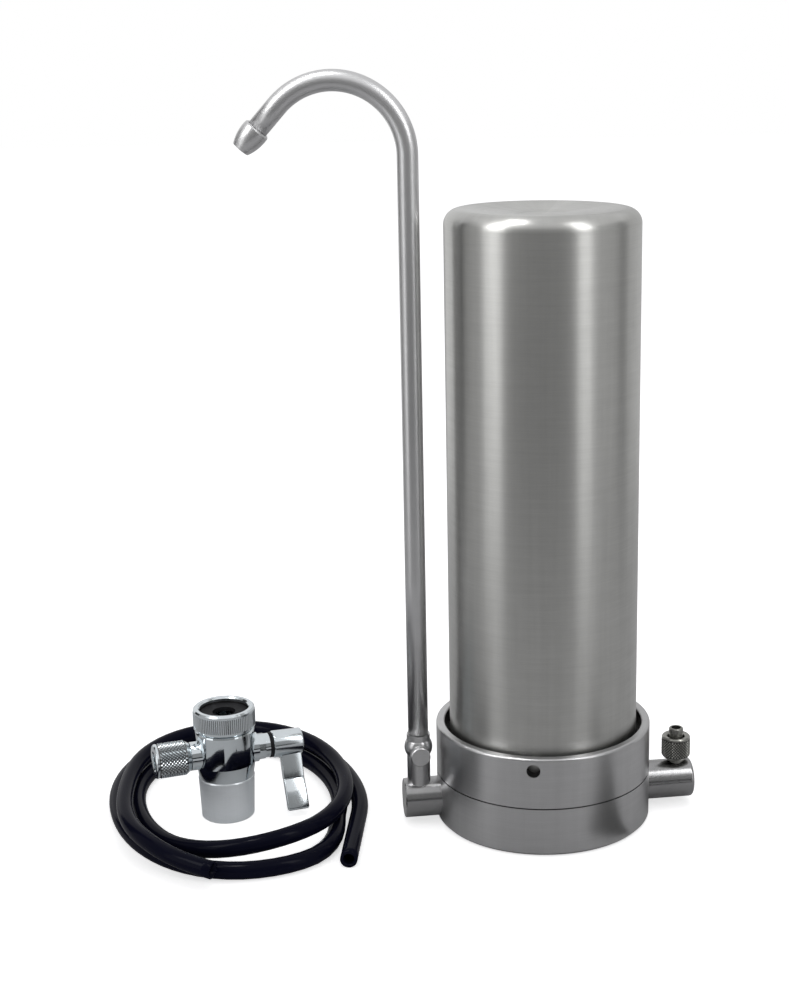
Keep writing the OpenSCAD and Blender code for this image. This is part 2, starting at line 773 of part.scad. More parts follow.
// Spout nozzle: a slim barrel over the tube's end, widest at height nozzle_wide_z
module spout_nozzle() {
    wide_r = nozzle_d / 2;
    drop = wide_r - nozzle_tip_d / 2;
    run = nozzle_l - nozzle_wide_z;
    barrel_arc = (run ^ 2 + drop ^ 2) / (2 * drop);
    color(steel) at_spout() at_bend_end() translate([0, 0, tip_straight - nozzle_grip])
        rotate_extrude() difference() {
            intersection() {
                translate([wide_r - barrel_arc, nozzle_wide_z]) circle(r = barrel_arc, $fn = 360);
                polygon([
                    [0, 0],
                    [wide_r - 0.7, 0],
                    [wide_r, 0.7],
                    [wide_r, nozzle_l],
                    [0, nozzle_l]
                ]);
            }
            translate([0, -eps]) square([tube_r + tip_swage, nozzle_grip + eps]);
            polygon([
                [0, nozzle_grip - eps],
                [tube_in_r, nozzle_grip - eps],
                [tube_in_r, nozzle_grip + 2],
                [nozzle_tip_d / 2 - nozzle_lip, nozzle_l + eps],
                [0, nozzle_l + eps]
            ]);
        }
}

// Barbed end of a nipple: land, neck and collar, its tip at height z
module barb_section(z) {
    chamfer = 0.4;
    polygon([
        [0, z - 6],
        [barb_neck_r, z - 6],
        [barb_neck_r, z - 5],
        [barb_r, z - 4.6],
        [barb_r, z - 3.4],
        [barb_neck_r, z - 3.4],
        [barb_neck_r, z - barb_land - chamfer],
        [barb_r, z - barb_land - chamfer],
        [barb_r, z - chamfer],
        [barb_r - chamfer, z],
        [0, z]
    ]);
}

// Inlet nipple: seated in the stub, threaded for the nut, barbed for the hose
module inlet_nipple() {
    tip_z = inlet_nut_top + inlet_barb_out;
    color(steel_dark) translate([inlet_x, 0, 0]) rotate_extrude() difference() {
        union() {
            translate([0, nipple_socket_z]) square([nipple_r, tip_z - 6 - nipple_socket_z]);
            translate([0, stub_top + turn_gap]) square([nipple_r + 0.75, inlet_nut_gap]);
            translate([0, inlet_nut_z + 0.6])
                square([nut_body_r - thread_gap, nut_thread_l - 1.2]);
            barb_section(tip_z);
        }
        translate([0, nipple_socket_z - eps]) square([nipple_bore / 2, tip_z]);
    }
}

// Inside of a compression nut of length l: thread, cone and hose mouth
module nut_cavity(l, thread_l) {
    rotate_extrude() polygon([
        [0, -eps],
        [nut_body_r, -eps],
        [nut_body_r, thread_l],
        [nut_mouth_r, thread_l + 1.2],
        [nut_mouth_r, l - 0.5],
        [nut_mouth_r + 0.5, l + eps],
        [0, l + eps]
    ]);
}

// Diamond-knurled compression nut standing on the XY plane, mouth up, with a cone
// of length lead at its foot and a smooth rim round its mouth
module compression_nut(d, l, diamonds, thread_l, lead, rim) {
    end_r = d / 2 - knurl_depth - 0.05;
    lead_r = end_r - 0.6 * lead;
    difference() {
        union() {
            cylinder(r1 = lead_r, r2 = end_r, h = lead);
            translate([0, 0, lead])
                diamond_band(d / 2, l - lead - rim, diamonds, knurl_depth);
            translate([0, 0, l - rim]) rotate_extrude() polygon([
                [0, 0],
                [end_r, 0],
                [d / 2 - 0.2, 0.3],
                [d / 2 - 0.2, rim - 0.5],
                [d / 2 - 0.7, rim],
                [0, rim]
            ]);
        }
        nut_cavity(l, thread_l);
    }
}

// Inlet nut: clamps the hose onto the inlet nipple
module inlet_nut() {
    color(steel_dark) translate([inlet_x, 0, inlet_nut_z])
        compression_nut(inlet_nut_d, inlet_nut_h, inlet_diamonds, nut_thread_l, 0.9, 1.5);
}

// Bottom cap of the cartridge: plate, rim and the sleeve that seals on the spigot
module cartridge_bottom_cap() {
    rim_r = net_r + seat_fit;
    color(plastic_white) rotate_extrude() difference() {
        union() {
            translate([sleeve_r, floor_h]) square([sleeve_wall, cart_stand + 2 * cap_rim]);
            translate([sleeve_r, cart_z]) square([cart_r - sleeve_r, cap_t + cap_rim]);
        }
        translate([sleeve_r + sleeve_wall, cart_z + cap_t])
            square([rim_r - sleeve_r - sleeve_wall, 2 * cap_rim]);
        translate([sleeve_r - eps, floor_h - eps])
            polygon([[0, 0], [1, 0], [0, 1.4]]);
    }
}

// Top cap of the cartridge: plate, rim, centring plug and a grip ring on top
module cartridge_top_cap() {
    rim_r = net_r + seat_fit;
    grip_r = 8;
    color(plastic_white) rotate_extrude() {
        translate([0, cart_top - cap_t]) square([cart_r, cap_t]);
        translate([rim_r, cart_top - cap_t - cap_rim]) square([cart_r - rim_r, cap_rim + eps]);
        translate([0, cart_top - cap_t - cap_rim])
            square([core_in_r - seat_fit, cap_rim + eps]);
        translate([grip_r, cart_top - eps]) square([sleeve_wall, cap_t]);
    }
}

// Core tube of the cartridge with rows of water holes
module cartridge_core() {
    z0 = cart_z + cap_t;
    l = cart_l - 2 * cap_t;
    rows = 6;
    holes = 4;
    color(plastic_white) difference() {
        ring(core_in_r, core_r, z0, z0 + l);
        for (k = [1:rows]) for (i = [0:holes / 2 - 1])
            translate([0, 0, z0 + k * l / (rows + 1)]) rotate([0, 0, i * 360 / holes + k * 45])
                rod_x(2, -core_r - 1, core_r + 1);
    }
}

// Carbon block of the cartridge
module cartridge_block() {
    color(carbon) ring(block_in_r, block_r, cart_z + cap_t, cart_top - cap_t);
}

// Net round the carbon block
module cartridge_net() {
    color(plastic_white) ring(block_r, net_r, cart_z + cap_t, cart_top - cap_t);
}

// Seal between the cartridge and the spigot
module cartridge_seal() {
    color(rubber) round_seal(sleeve_r - cart_cord / 2 - 0.02, cart_seal_z, cart_cord);
}

// Places children in the frame of the diverter: X towards the lever, Z up
module at_diverter() {
    translate([diverter_x, diverter_y, 0]) rotate([0, 0, diverter_turn]) children();
}

// Places children on the diverter's cross axis, Z along it towards the lever
module on_lever_side() {
    translate([0, 0, port_z]) rotate([0, 90, 0]) children();
}

// Places children on the diverter's cross axis, Z along it towards the hose
module on_hose_side() {
    translate([0, 0, port_z]) rotate([0, -90, 0]) children();
}

// Diverter body: barrel with a swivel neck, a hose port and a valve bore
module diverter_body() {
    color(chrome) at_diverter() difference() {
        union() {
            rotate_extrude() polygon([
                [0, outlet_h],
                [outlet_top_d / 2 - 0.3, outlet_h],
                [barrel_r - 0.5, outlet_h + 3.5],
                [barrel_r, outlet_h + 7],
                [barrel_r, barrel_top - 1.2],
                [barrel_r - 0.3, barrel_top - 0.5],
                [barrel_r - 0.9, barrel_top],
                [swivel_neck_r, barrel_top],
                [swivel_neck_r, washer_z - swivel_flange_t],
                [swivel_flange_r, washer_z - swivel_flange_t],
                [swivel_flange_r, washer_z],
                [0, washer_z]
            ]);
            on_hose_side() cylinder(r = port_neck_r, h = port_neck_reach);
            on_lever_side() cylinder(r = bonnet_r + 0.8, h = barrel_r + 1.2);
        }
        translate([0, 0, port_z + spool_bore_r + 1.5]) cylinder(r = valve_bore_r, h = barrel_top);
        translate([0, 0, outlet_h - eps])
            cylinder(r = valve_bore_r, h = port_z - spool_bore_r - 1.5 - outlet_h);
        translate([0, 0, outlet_h]) cylinder(r = passage_r, h = barrel_h);
        on_lever_side() translate([0, 0, spool_back - 1])
            cylinder(r = spool_bore_r, h = barrel_d);
        on_lever_side() translate([0, 0, barrel_r - 3])
            cylinder(r = bonnet_r - 1.2 + seat_fit, h = barrel_r);
        on_hose_side() cylinder(r = passage_r, h = barrel_d);
        on_hose_side() translate([0, 0, port_neck_reach - 5])
            cylinder(r = nipple_r + seat_fit, h = barrel_d);
    }
}

// Diverter outlet: satin cup that holds the aerator
module diverter_outlet() {
    color(satin) at_diverter() rotate_extrude() difference() {
        polygon([
            [0, 0],
            [outlet_low_d / 2 - 0.5, 0],
            [outlet_low_d / 2, 0.5],
            [outlet_top_d / 2, outlet_h - 0.6],
            [outlet_top_d / 2 - 0.3, outlet_h],
            [0, outlet_h]
        ]);
        translate([0, -eps]) square([outlet_low_d / 2 - outlet_wall, 1 + aerator_h]);
        translate([0, -eps]) square([outlet_low_d / 2 - outlet_wall - 1.5, outlet_h + 1]);
    }
}

// Aerator insert: ring with a cross and a screen plate
module aerator_insert() {
    r = outlet_low_d / 2 - outlet_wall - seat_fit;
    color(rubber) at_diverter() difference() {
        translate([0, 0, 1]) cylinder(r = r, h = aerator_h - seat_fit);
        translate([0, 0, 1 - eps]) difference() {
            cylinder(r = r - 1.4, h = 4);
            for (a = [0, 90]) rotate([0, 0, a]) translate([-r, -0.6, 0]) cube([2 * r, 1.2, 4]);
        }
        for (a = [0:45:315]) rotate([0, 0, a + 22.5]) translate([r * 0.55, 0, 0])
            cylinder(r = 1.5, h = 2 * aerator_h);
    }
}

// Tap nut: fluted swivel nut that screws onto a tap
module tap_nut() {
    rim = 1.5;
    r = tap_nut_d / 2;
    color(chrome) at_diverter() translate([0, 0, tap_nut_z]) difference() {
        union() {
            translate([0, 0, rim - eps]) linear_extrude(tap_nut_h - 2 * rim - 0.3 + 2 * eps)
                polygon([for (i = [0:2 * flute_count - 1])
                    let(q = i % 2 == 0 ? r : r - flute_depth, w = 360 * i / (2 * flute_count))
                    [q * cos(w), q * sin(w)]]);
            rotate_extrude() polygon([
                [0, 0],
                [r - 0.8, 0],
                [r - 0.2, 0.6],
                [r - 0.2, rim],
                [0, rim]
            ]);
            translate([0, 0, tap_nut_h - rim - 0.3]) rotate_extrude() polygon([
                [0, 0],
                [r - 0.2, 0],
                [r - 0.2, rim - 0.4],
                [r - 0.9, rim + 0.3],
                [0, rim + 0.3]
            ]);
        }
        translate([0, 0, -tap_nut_z]) rotate_extrude() polygon([
            [0, 0],
            [swivel_neck_r + thread_gap, 0],
            [swivel_neck_r + thread_gap, tap_lip_top],
            [tap_relief_r, tap_lip_top],
            [tap_relief_r, washer_top],
            [tap_thread_d / 2, washer_top],
            [tap_thread_d / 2, tap_nut_top - 0.7],
            [tap_thread_d / 2 + 0.7, tap_nut_top],
            [tap_thread_d / 2 + 0.7, tap_nut_top + 1],
            [0, tap_nut_top + 1]
        ]);
    }
}

// Tap washer: rubber ring on the swivel flange
module tap_washer() {
    color(rubber) at_diverter()
        ring(washer_hole / 2, swivel_flange_r, washer_z, washer_top);
}

// Diverter nipple: threaded for the hose nut, barbed inside it
module diverter_nipple() {
    tip = port_neck_reach + hose_nut_l - 1.4;
    color(chrome) at_diverter() on_hose_side() rotate_extrude() difference() {
        union() {
            translate([0, port_neck_reach - 5]) square([nipple_r, tip - 1 - port_neck_reach]);
            translate([0, port_neck_reach])
                square([nut_body_r - thread_gap, nut_thread_l + 2]);
            barb_section(tip);
        }
        translate([0, port_neck_reach - 6]) square([nipple_bore / 2, tip]);
    }
}

// Hose nut of the diverter
module hose_nut() {
    color(chrome) at_diverter() on_hose_side() translate([0, 0, hose_nut_x])
        compression_nut(hose_nut_d, hose_nut_l, hose_nut_diamonds, nut_thread_l + 3, 1.8, 1.8);
}

// Bonnet: screwed into the body, it guides the valve spool's stem
module diverter_bonnet() {
    color(chrome) at_diverter() on_lever_side() difference() {
        union() {
            translate([0, 0, barrel_r - 3 + seat_fit])
                cylinder(r = bonnet_r - 1.2, h = bonnet_reach - barrel_r + 3 - seat_fit);
            translate([0, 0, barrel_r + 1.25]) cylinder(r = bonnet_r, h = 3.3, $fn = 12);
            translate([0, 0, barrel_r + 4.5])
                cylinder(r = bonnet_r - 0.4, h = bonnet_reach - barrel_r - 4.5);
        }
        cylinder(r = spool_stem_r + 0.1, h = 2 * bonnet_reach);
        cylinder(r = spool_bore_r, h = barrel_r);
    }
}

// Black ring between the bonnet and the lever
module lever_ring() {
    color(rubber) at_diverter() on_lever_side()
        ring(spool_stem_r + 0.1, bonnet_r - 0.1, bonnet_reach, bonnet_reach + lever_ring_t);
}

// Valve spool: turns with the lever. At rest its slot lets the water down to the
// outlet; a quarter turn brings its side port up and sends the water to the hose.
module diverter_spool() {
    land = barrel_r - 0.4;
    port_y = -spool_port_r;
    color(steel_dark) at_diverter() on_lever_side() difference() {
        union() {
            translate([0, 0, spool_back]) cylinder(r = spool_r, h = land - spool_back);
            cylinder(r = spool_stem_r, h = hub_x + stem_grip);
        }
        translate([-spool_r - 1, 0.8, -spool_slot_l / 2])
            cube([2 * spool_r + 2, 2 * spool_r, spool_slot_l]);
        translate([0, port_y, spool_back - eps])
            cylinder(r = spool_port_r, h = spool_port_r - spool_back);
        rotate([90, 0, 0]) cylinder(r = spool_port_r, h = spool_r + 1);
        for (z = spool_seal_z) spool_groove(z);
    }
}

// Seal groove of the valve spool at height z along it
module spool_groove(z) {
    ring(spool_bore_r - spool_cord - 0.1, spool_r + 1, z - spool_cord / 2 - 0.1,
        z + spool_cord / 2 + 0.1);
}

// Two seals on the valve spool
module spool_seals() {
    color(rubber) at_diverter() on_lever_side() for (z = spool_seal_z)
        round_seal(spool_bore_r - 0.02 - spool_cord / 2, z, spool_cord);
}

// Side outline of the lever's arm and paddle, hub at the origin, forwards along X
module lever_outline() {
    rotate(arm_tilt - 90) {
        translate([0, -lever_t / 2]) square([arm_l, lever_t]);
        translate([arm_l, 0]) {
            circle(d = lever_t);
            rotate(paddle_tilt) {
                translate([0, -paddle_t / 2]) square([paddle_l - paddle_t / 2, paddle_t]);
                translate([paddle_l - paddle_t / 2, 0]) circle(d = paddle_t);
            }
        }
    }
}

// Lever: hub, arm and thumb paddle
module diverter_lever() {
    rim = 1;
    color(chrome) at_diverter() difference() {
        union() {
            on_lever_side() translate([0, 0, hub_x]) {
                cylinder(r = hub_r, h = hub_l - rim);
                translate([0, 0, hub_l - rim]) cylinder(r1 = hub_r, r2 = hub_r - rim, h = rim);
            }
            translate([lever_x + lever_w - 0.4, 0, port_z]) rotate([90, 0, -90])
                linear_extrude(lever_w - 0.4) lever_outline();
        }
        on_lever_side() cylinder(r = spool_stem_r, h = hub_x + stem_grip);
    }
}

// Hose: about two and three quarter loops, both ends cut open
module hose() {
    color(hose_black) translate([coil_x, coil_y, 0]) rotate([0, 0, coil_turn])
        hollow_tube(hose_path, hose_r, hose_in_r, hose_sides);
}

base_block();
foot_pad();
outlet_stub();
inlet_stub();
housing_seal();
collar_ring();
housing_can();
outlet_riser();
riser_plug();
retaining_pin();
spout_tube();
spout_insert();
insert_seals();
spout_nozzle();
inlet_nipple();
inlet_nut();
cartridge_bottom_cap();
cartridge_top_cap();
cartridge_core();
cartridge_block();
cartridge_net();
cartridge_seal();
diverter_body();
diverter_outlet();
aerator_insert();
tap_nut();
tap_washer();
diverter_nipple();
hose_nut();
diverter_bonnet();
lever_ring();
diverter_spool();
spool_seals();
diverter_lever();
hose();
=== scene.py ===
"""Benchtop water filter: finishes, coiled hose, studio and camera over the CAD frame."""
import math

import bmesh
import bpy
from bpy.props import FloatProperty, FloatVectorProperty, IntProperty, PointerProperty
from mathutils import Matrix, Vector


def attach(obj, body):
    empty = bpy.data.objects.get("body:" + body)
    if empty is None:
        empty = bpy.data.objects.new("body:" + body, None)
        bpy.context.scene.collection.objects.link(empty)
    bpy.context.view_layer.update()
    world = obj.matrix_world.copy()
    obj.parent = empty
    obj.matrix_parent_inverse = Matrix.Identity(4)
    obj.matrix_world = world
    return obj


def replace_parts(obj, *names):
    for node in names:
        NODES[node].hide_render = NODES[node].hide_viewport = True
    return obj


bl_info = {
    "name": "Benchtop water filter",
    "version": (1, 0, 0),
    "blender": (4, 5, 0),
    "location": "3D View > Sidebar > Water filter",
    "description": "Finishes, coiled hose, studio and camera for a benchtop water filter",
    "category": "Object",
}

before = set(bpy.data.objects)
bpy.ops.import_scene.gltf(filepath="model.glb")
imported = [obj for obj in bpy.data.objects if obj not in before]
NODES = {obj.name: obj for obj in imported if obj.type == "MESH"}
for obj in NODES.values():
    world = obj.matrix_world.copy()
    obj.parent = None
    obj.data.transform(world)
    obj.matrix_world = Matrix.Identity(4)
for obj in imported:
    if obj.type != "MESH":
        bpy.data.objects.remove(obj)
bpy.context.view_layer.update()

# Nodes that share a finish
STUBS = ("outlet_stub", "inlet_stub")
CHROME = ("diverter_body", "diverter_nipple", "diverter_bonnet")
DARK_STEEL = ("retaining_pin", "spout_insert", "inlet_nipple", "diverter_spool")
RUBBER = ("foot_pad", "housing_seal", "insert_seals", "cartridge_seal", "aerator_insert",
          "tap_washer", "lever_ring", "spool_seals")
WHITE_PLASTIC = ("cartridge_bottom_cap", "cartridge_top_cap", "cartridge_core")


def colour(name, description, default):
    """A colour property with the usual limits."""
    return FloatVectorProperty(name=name, description=description, default=default,
                               subtype="COLOR", size=3, min=0.0, max=1.0)


def amount(name, description, default):
    """A factor property from 0 to 1."""
    return FloatProperty(name=name, description=description, default=default,
                         min=0.0, max=1.0, subtype="FACTOR")


def distance(name, description, default):
    """A length property in metres."""
    return FloatProperty(name=name, description=description, default=default,
                         unit="LENGTH", subtype="DISTANCE")


class FilterFinish(bpy.types.PropertyGroup):
    """Colours and roughness of the finishes."""

    housing: colour("Housing steel", "Colour of the housing", (0.52, 0.52, 0.505))
    steel: colour("Brushed steel", "Colour of the base, collar and spout", (0.54, 0.54, 0.545))
    dark_steel: colour("Dark steel", "Colour of the inlet fitting, the pin and the valve spool",
                       (0.29, 0.29, 0.27))
    chrome: colour("Chrome", "Colour of the polished diverter", (0.74, 0.79, 0.82))
    satin: colour("Satin chrome", "Colour of the diverter's outlet", (0.90, 0.94, 0.97))
    rubber: colour("Rubber", "Colour of the pads, seals and washers", (0.012, 0.012, 0.014))
    plastic: colour("Cartridge plastic", "Colour of the cartridge's caps", (0.78, 0.78, 0.74))
    carbon: colour("Carbon", "Colour of the cartridge's block", (0.018, 0.018, 0.020))
    steel_roughness: amount("Steel roughness", "Roughness of the brushed steel", 0.33)
    chrome_roughness: amount("Chrome roughness", "Roughness of the polished chrome", 0.06)


class FilterHose(bpy.types.PropertyGroup):
    """Sizes and colour of the coiled hose."""

    diameter: distance("Hose diameter", "Outside diameter of the hose", 0.008)
    bore: distance("Hose bore", "Inside diameter of the hose", 0.0055)
    half_width: distance("Coil half width", "Half width of the outermost loop", 0.0574)
    half_length: distance("Coil half length", "Half length of the outermost loop", 0.0789)
    tail: distance("Tail", "Length of the straight tail at the front right", 0.050)
    sides: IntProperty(name="Sides", description="Facets round the hose", default=28, min=8, max=64)
    rings: IntProperty(name="Rings", description="Rings in one loop", default=72, min=24, max=144)
    tint: colour("Hose colour", "Colour of the hose", (0.004, 0.0044, 0.012))


class FilterStudio(bpy.types.PropertyGroup):
    """Light of the studio."""

    side_power: FloatProperty(name="Side boxes", description="Power of each side soft box",
                              default=1.9, unit="POWER")
    top_power: FloatProperty(name="Top box", description="Power of the overhead soft box",
                             default=3.0, unit="POWER")
    room_grey: amount("Room", "Brightness of the room in reflections", 0.27)
    floor_grey: amount("Floor", "Brightness of the floor in reflections", 0.55)
    strip: FloatProperty(name="Strips", description="Brightness of the tall side panels",
                         default=1.25, min=0.0)
    lamp: FloatProperty(name="Lamps", description="Brightness of the lamps above the side panels",
                        default=5.0, min=0.0)


# Node helpers

def add(tree, kind, inputs=None, **settings):
    """Adds a shader node, sets its options, and sets or links its inputs."""
    made = tree.nodes.new(kind)
    for key, value in settings.items():
        setattr(made, key, value)
    for key, value in (inputs or {}).items():
        if isinstance(value, bpy.types.NodeSocket):
            tree.links.new(value, made.inputs[key])
        else:
            made.inputs[key].default_value = value
    return made


def maths(tree, operation, a, b=0.0, clamp=False):
    """Result of a Math node."""
    made = add(tree, "ShaderNodeMath", {0: a, 1: b}, operation=operation, use_clamp=clamp)
    return made.outputs[0]


def find_node(tree, kind):
    """The first node of a kind."""
    return next(node for node in tree.nodes if node.type == kind)


def toned(tint, factor):
    """A colour made lighter or darker."""
    return [factor * tone for tone in tint]


def noise(tree, vector, scale, detail=2.0, rough=0.5):
    """Factor of a noise texture."""
    made = add(tree, "ShaderNodeTexNoise",
               {"Vector": vector, "Scale": scale, "Detail": detail, "Roughness": rough})
    return made.outputs["Fac"]


def from_z(tree, vector):
    """Parts of a vector, its part across Z, and its distance from Z."""
    split = add(tree, "ShaderNodeSeparateXYZ", {0: vector}).outputs
    flat = add(tree, "ShaderNodeCombineXYZ", {"X": split["X"], "Y": split["Y"]}).outputs[0]
    reach = add(tree, "ShaderNodeVectorMath", {0: flat}, operation="LENGTH").outputs["Value"]
    return split, flat, reach


def new_group(name, inputs, outputs):
    """A shader node group, with its input and output sockets."""
    tree = bpy.data.node_groups.new(name, "ShaderNodeTree")
    for label, kind, default in inputs:
        made = tree.interface.new_socket(label, in_out="INPUT", socket_type=kind)
        made.default_value = default
    for label, kind in outputs:
        tree.interface.new_socket(label, in_out="OUTPUT", socket_type=kind)
    source = tree.nodes.new("NodeGroupInput").outputs
    target = tree.nodes.new("NodeGroupOutput").inputs
    return tree, source, target


FINISH_IN = [
    ("Vector", "NodeSocketVector", (0.0, 0.0, 0.0)),
    ("Color", "NodeSocketColor", (0.5, 0.5, 0.5, 1.0)),
    ("Roughness", "NodeSocketFloat", 0.3),
    ("Contrast", "NodeSocketFloat", 0.1),
]
FINISH_OUT = [
    ("Base Color", "NodeSocketColor"),
    ("Roughness", "NodeSocketFloat"),
    ("Bump Height", "NodeSocketFloat"),
]
# Height that a bump of 1 stands for, in metres
BUMP_DISTANCE = 0.0001


def finish_from(tree, source, target, streak, cloud):
    """Colour, roughness and bump of a surface from its streaks and its cloudy patches."""
    grain = maths(tree, "ADD", maths(tree, "MULTIPLY", streak, 0.5),
                  maths(tree, "MULTIPLY", cloud, 0.5))
    swing = maths(tree, "MULTIPLY", maths(tree, "SUBTRACT", grain, 0.5), source["Contrast"])
    lift = maths(tree, "ADD", swing, 1.0)
    lifted = add(tree, "ShaderNodeVectorMath", {0: source["Color"], "Scale": lift},
                 operation="SCALE").outputs[0]
    tree.links.new(lifted, target["Base Color"])
    rough = maths(tree, "MULTIPLY", maths(tree, "SUBTRACT", 1.0, swing), source["Roughness"])
    tree.links.new(rough, target["Roughness"])
    tree.links.new(streak, target["Bump Height"])


def turned_grain_group():
    """Fine grain in circles round Z, as on turned or rotary brushed steel."""
    tree, source, target = new_group("Turned grain", FINISH_IN, FINISH_OUT)
    split, flat, radius = from_z(tree, source["Vector"])
    around = add(tree, "ShaderNodeVectorMath", {0: flat}, operation="NORMALIZE").outputs[0]
    turn = add(tree, "ShaderNodeSeparateXYZ", {0: around}).outputs
    across = maths(tree, "ADD", split["Z"], radius)

    def rings(length, width):
        where = add(tree, "ShaderNodeCombineXYZ",
                    {"X": maths(tree, "MULTIPLY", turn["X"], length),
                     "Y": maths(tree, "MULTIPLY", turn["Y"], length),
                     "Z": maths(tree, "MULTIPLY", across, width)}).outputs[0]
        return noise(tree, where, 1.0, 3.0, 0.6)

    streak = maths(tree, "ADD", maths(tree, "MULTIPLY", rings(2.2, 2600.0), 0.55),
                   maths(tree, "MULTIPLY", rings(1.2, 420.0), 0.45))
    cloud = maths(tree, "ADD", maths(tree, "MULTIPLY", rings(11.0, 9.0), 0.6),
                  maths(tree, "MULTIPLY", noise(tree, source["Vector"], 90.0, 4.0, 0.6), 0.4))
    finish_from(tree, source, target, streak, cloud)
    return tree


def drawn_grain_group():
    """Fine grain along a swan-neck tube that stands on Z and bends towards +X."""
    tree, source, target = new_group("Drawn grain", FINISH_IN, FINISH_OUT)
    split = add(tree, "ShaderNodeSeparateXYZ", {0: source["Vector"]}).outputs
    above = maths(tree, "MAXIMUM", maths(tree, "SUBTRACT", split["Z"], BEND_Z))
    spoke = add(tree, "ShaderNodeCombineXYZ",
                {"X": maths(tree, "SUBTRACT", split["X"], BEND_R), "Z": above}).outputs[0]
    across = add(tree, "ShaderNodeVectorMath", {0: spoke}, operation="LENGTH").outputs["Value"]
    where = add(tree, "ShaderNodeCombineXYZ",
                {"X": maths(tree, "MULTIPLY", across, 1900.0),
                 "Y": maths(tree, "MULTIPLY", split["Y"], 1900.0),
                 "Z": maths(tree, "MULTIPLY", split["Z"], 45.0)}).outputs[0]
    streak = noise(tree, where, 1.0, 3.0, 0.6)
    cloud = noise(tree, source["Vector"], 60.0, 2.0, 0.5)
    finish_from(tree, source, target, streak, cloud)
    return tree


def plating_group():
    """Faint orange peel and water marks of polished plating."""
    tree, source, target = new_group("Plating", FINISH_IN, FINISH_OUT)
    peel = noise(tree, source["Vector"], 900.0, 1.0, 0.5)
    marks = noise(tree, source["Vector"], 140.0, 4.0, 0.6)
    finish_from(tree, source, target, peel, marks)
    return tree


def moulded_group():
    """Fine grain and light dust of moulded rubber and plastic."""
    tree, source, target = new_group("Moulded", FINISH_IN, FINISH_OUT)
    grit = noise(tree, source["Vector"], 2600.0, 2.0, 0.6)
    dust = noise(tree, source["Vector"], 90.0, 4.0, 0.65)
    finish_from(tree, source, target, grit, dust)
    return tree


def shared_group(name, make):
    """The node group of that name, made on first use."""
    return bpy.data.node_groups.get(name) or make()


def new_material(name, group, tint, roughness, contrast, bump, place=None, turn=None, **sockets):
    """A material whose colour, roughness and bump come from a shared group."""
    made = bpy.data.materials.new(name)
    made.use_nodes = True
    tree = made.node_tree
    tree.nodes.clear()
    where = add(tree, "ShaderNodeTexCoord").outputs["Object"]
    if place or turn:
        where = add(tree, "ShaderNodeMapping",
                    {"Vector": where, "Location": place or (0, 0, 0), "Rotation": turn or (0, 0, 0)}
                    ).outputs[0]
    finish = add(tree, "ShaderNodeGroup", node_tree=group)
    tree.links.new(where, finish.inputs["Vector"])
    finish.inputs["Color"].default_value = (*tint, 1.0)
    finish.inputs["Roughness"].default_value = roughness
    finish.inputs["Contrast"].default_value = contrast
    raised = add(tree, "ShaderNodeBump",
                 {"Strength": bump, "Distance": BUMP_DISTANCE,
                  "Height": finish.outputs["Bump Height"]})
    shader = add(tree, "ShaderNodeBsdfPrincipled",
                 {"Base Color": finish.outputs["Base Color"],
                  "Roughness": finish.outputs["Roughness"], "Normal": raised.outputs[0]})
    for key, value in sockets.items():
        shader.inputs[key.replace("_", " ")].default_value = value
    add(tree, "ShaderNodeOutputMaterial", {"Surface": shader.outputs[0]})
    return made


def brushed(name, group, tint, roughness, contrast=0.5, anisotropy=0.5, metal=1.0, **more):
    """Brushed metal, whose highlights stretch across its grain."""
    return new_material(name, group, tint, roughness, contrast, 0.25, Metallic=metal,
                        Anisotropic=anisotropy, Anisotropic_Rotation=0.25, **more)


def plated(name, tint, roughness, place=None, turn=None):
    """Chrome plating."""
    plating = shared_group("Plating", plating_group)
    return new_material(name, plating, tint, roughness, 0.08, 0.04, place, turn, Metallic=1.0)


def paint_shade_and_dirt_inside(material, radii, heights, grey=0.03):
    """Painted shade, and in grooves dirt as well: fades a metal to a dark grey towards Z, over two
    radii and between two heights.
    """
    tree = material.node_tree
    finish = find_node(tree, "GROUP")
    split, _, reach = from_z(tree, finish.inputs["Vector"].links[0].from_socket)
    inside = add(tree, "ShaderNodeMapRange",
                 {"Value": reach, "From Min": radii[0], "From Max": radii[1],
                  "To Min": 1.0, "To Max": 0.0}).outputs[0]
    for operation, height in (("GREATER_THAN", heights[0]), ("LESS_THAN", heights[1])):
        inside = maths(tree, "MULTIPLY", inside, maths(tree, operation, split["Z"], height))
    tint = tuple(finish.inputs["Color"].default_value)
    mixed = add(tree, "ShaderNodeMix", {"Factor": inside, 6: tint, 7: (grey, grey, grey, 1.0)},
                data_type="RGBA")
    tree.links.new(mixed.outputs[2], finish.inputs["Color"])
    return material


def press_mark(material, radius, height):
    """Adds a round mark to a metal's bump, pressed in within a radius of Z."""
    tree = material.node_tree
    finish = find_node(tree, "GROUP")
    raised = find_node(tree, "BUMP")
    reach = from_z(tree, finish.inputs["Vector"].links[0].from_socket)[2]
    edge = add(tree, "ShaderNodeMapRange",
               {"Value": reach, "From Min": 0.8 * radius, "From Max": radius, "To Max": height},
               interpolation_type="SMOOTHSTEP").outputs[0]
    pressed = maths(tree, "ADD", finish.outputs["Bump Height"], edge)
    tree.links.new(pressed, raised.inputs["Height"])
    return material


def put_on(material, *names):
    """Gives CAD nodes one material."""
    for name in names:
        NODES[name].data.materials.clear()
        NODES[name].data.materials.append(material)


# Pieces

# Two points closer than this are taken as one, in metres
NEAR = 1e-6

# The spout's frame and the diverter's frame, as in the part's source
BEND_R = 0.0325
BEND_Z = 0.314
SPOUT_AXIS = Vector((-0.06015, 0.0, 0.0))
SPOUT_TURN = math.radians(169.24)
DIVERTER = (Matrix.Translation((-0.1507, 0.0228, 0.0))
            @ Matrix.Rotation(math.radians(11.44), 4, "Z"))
PORT_Z = 0.032

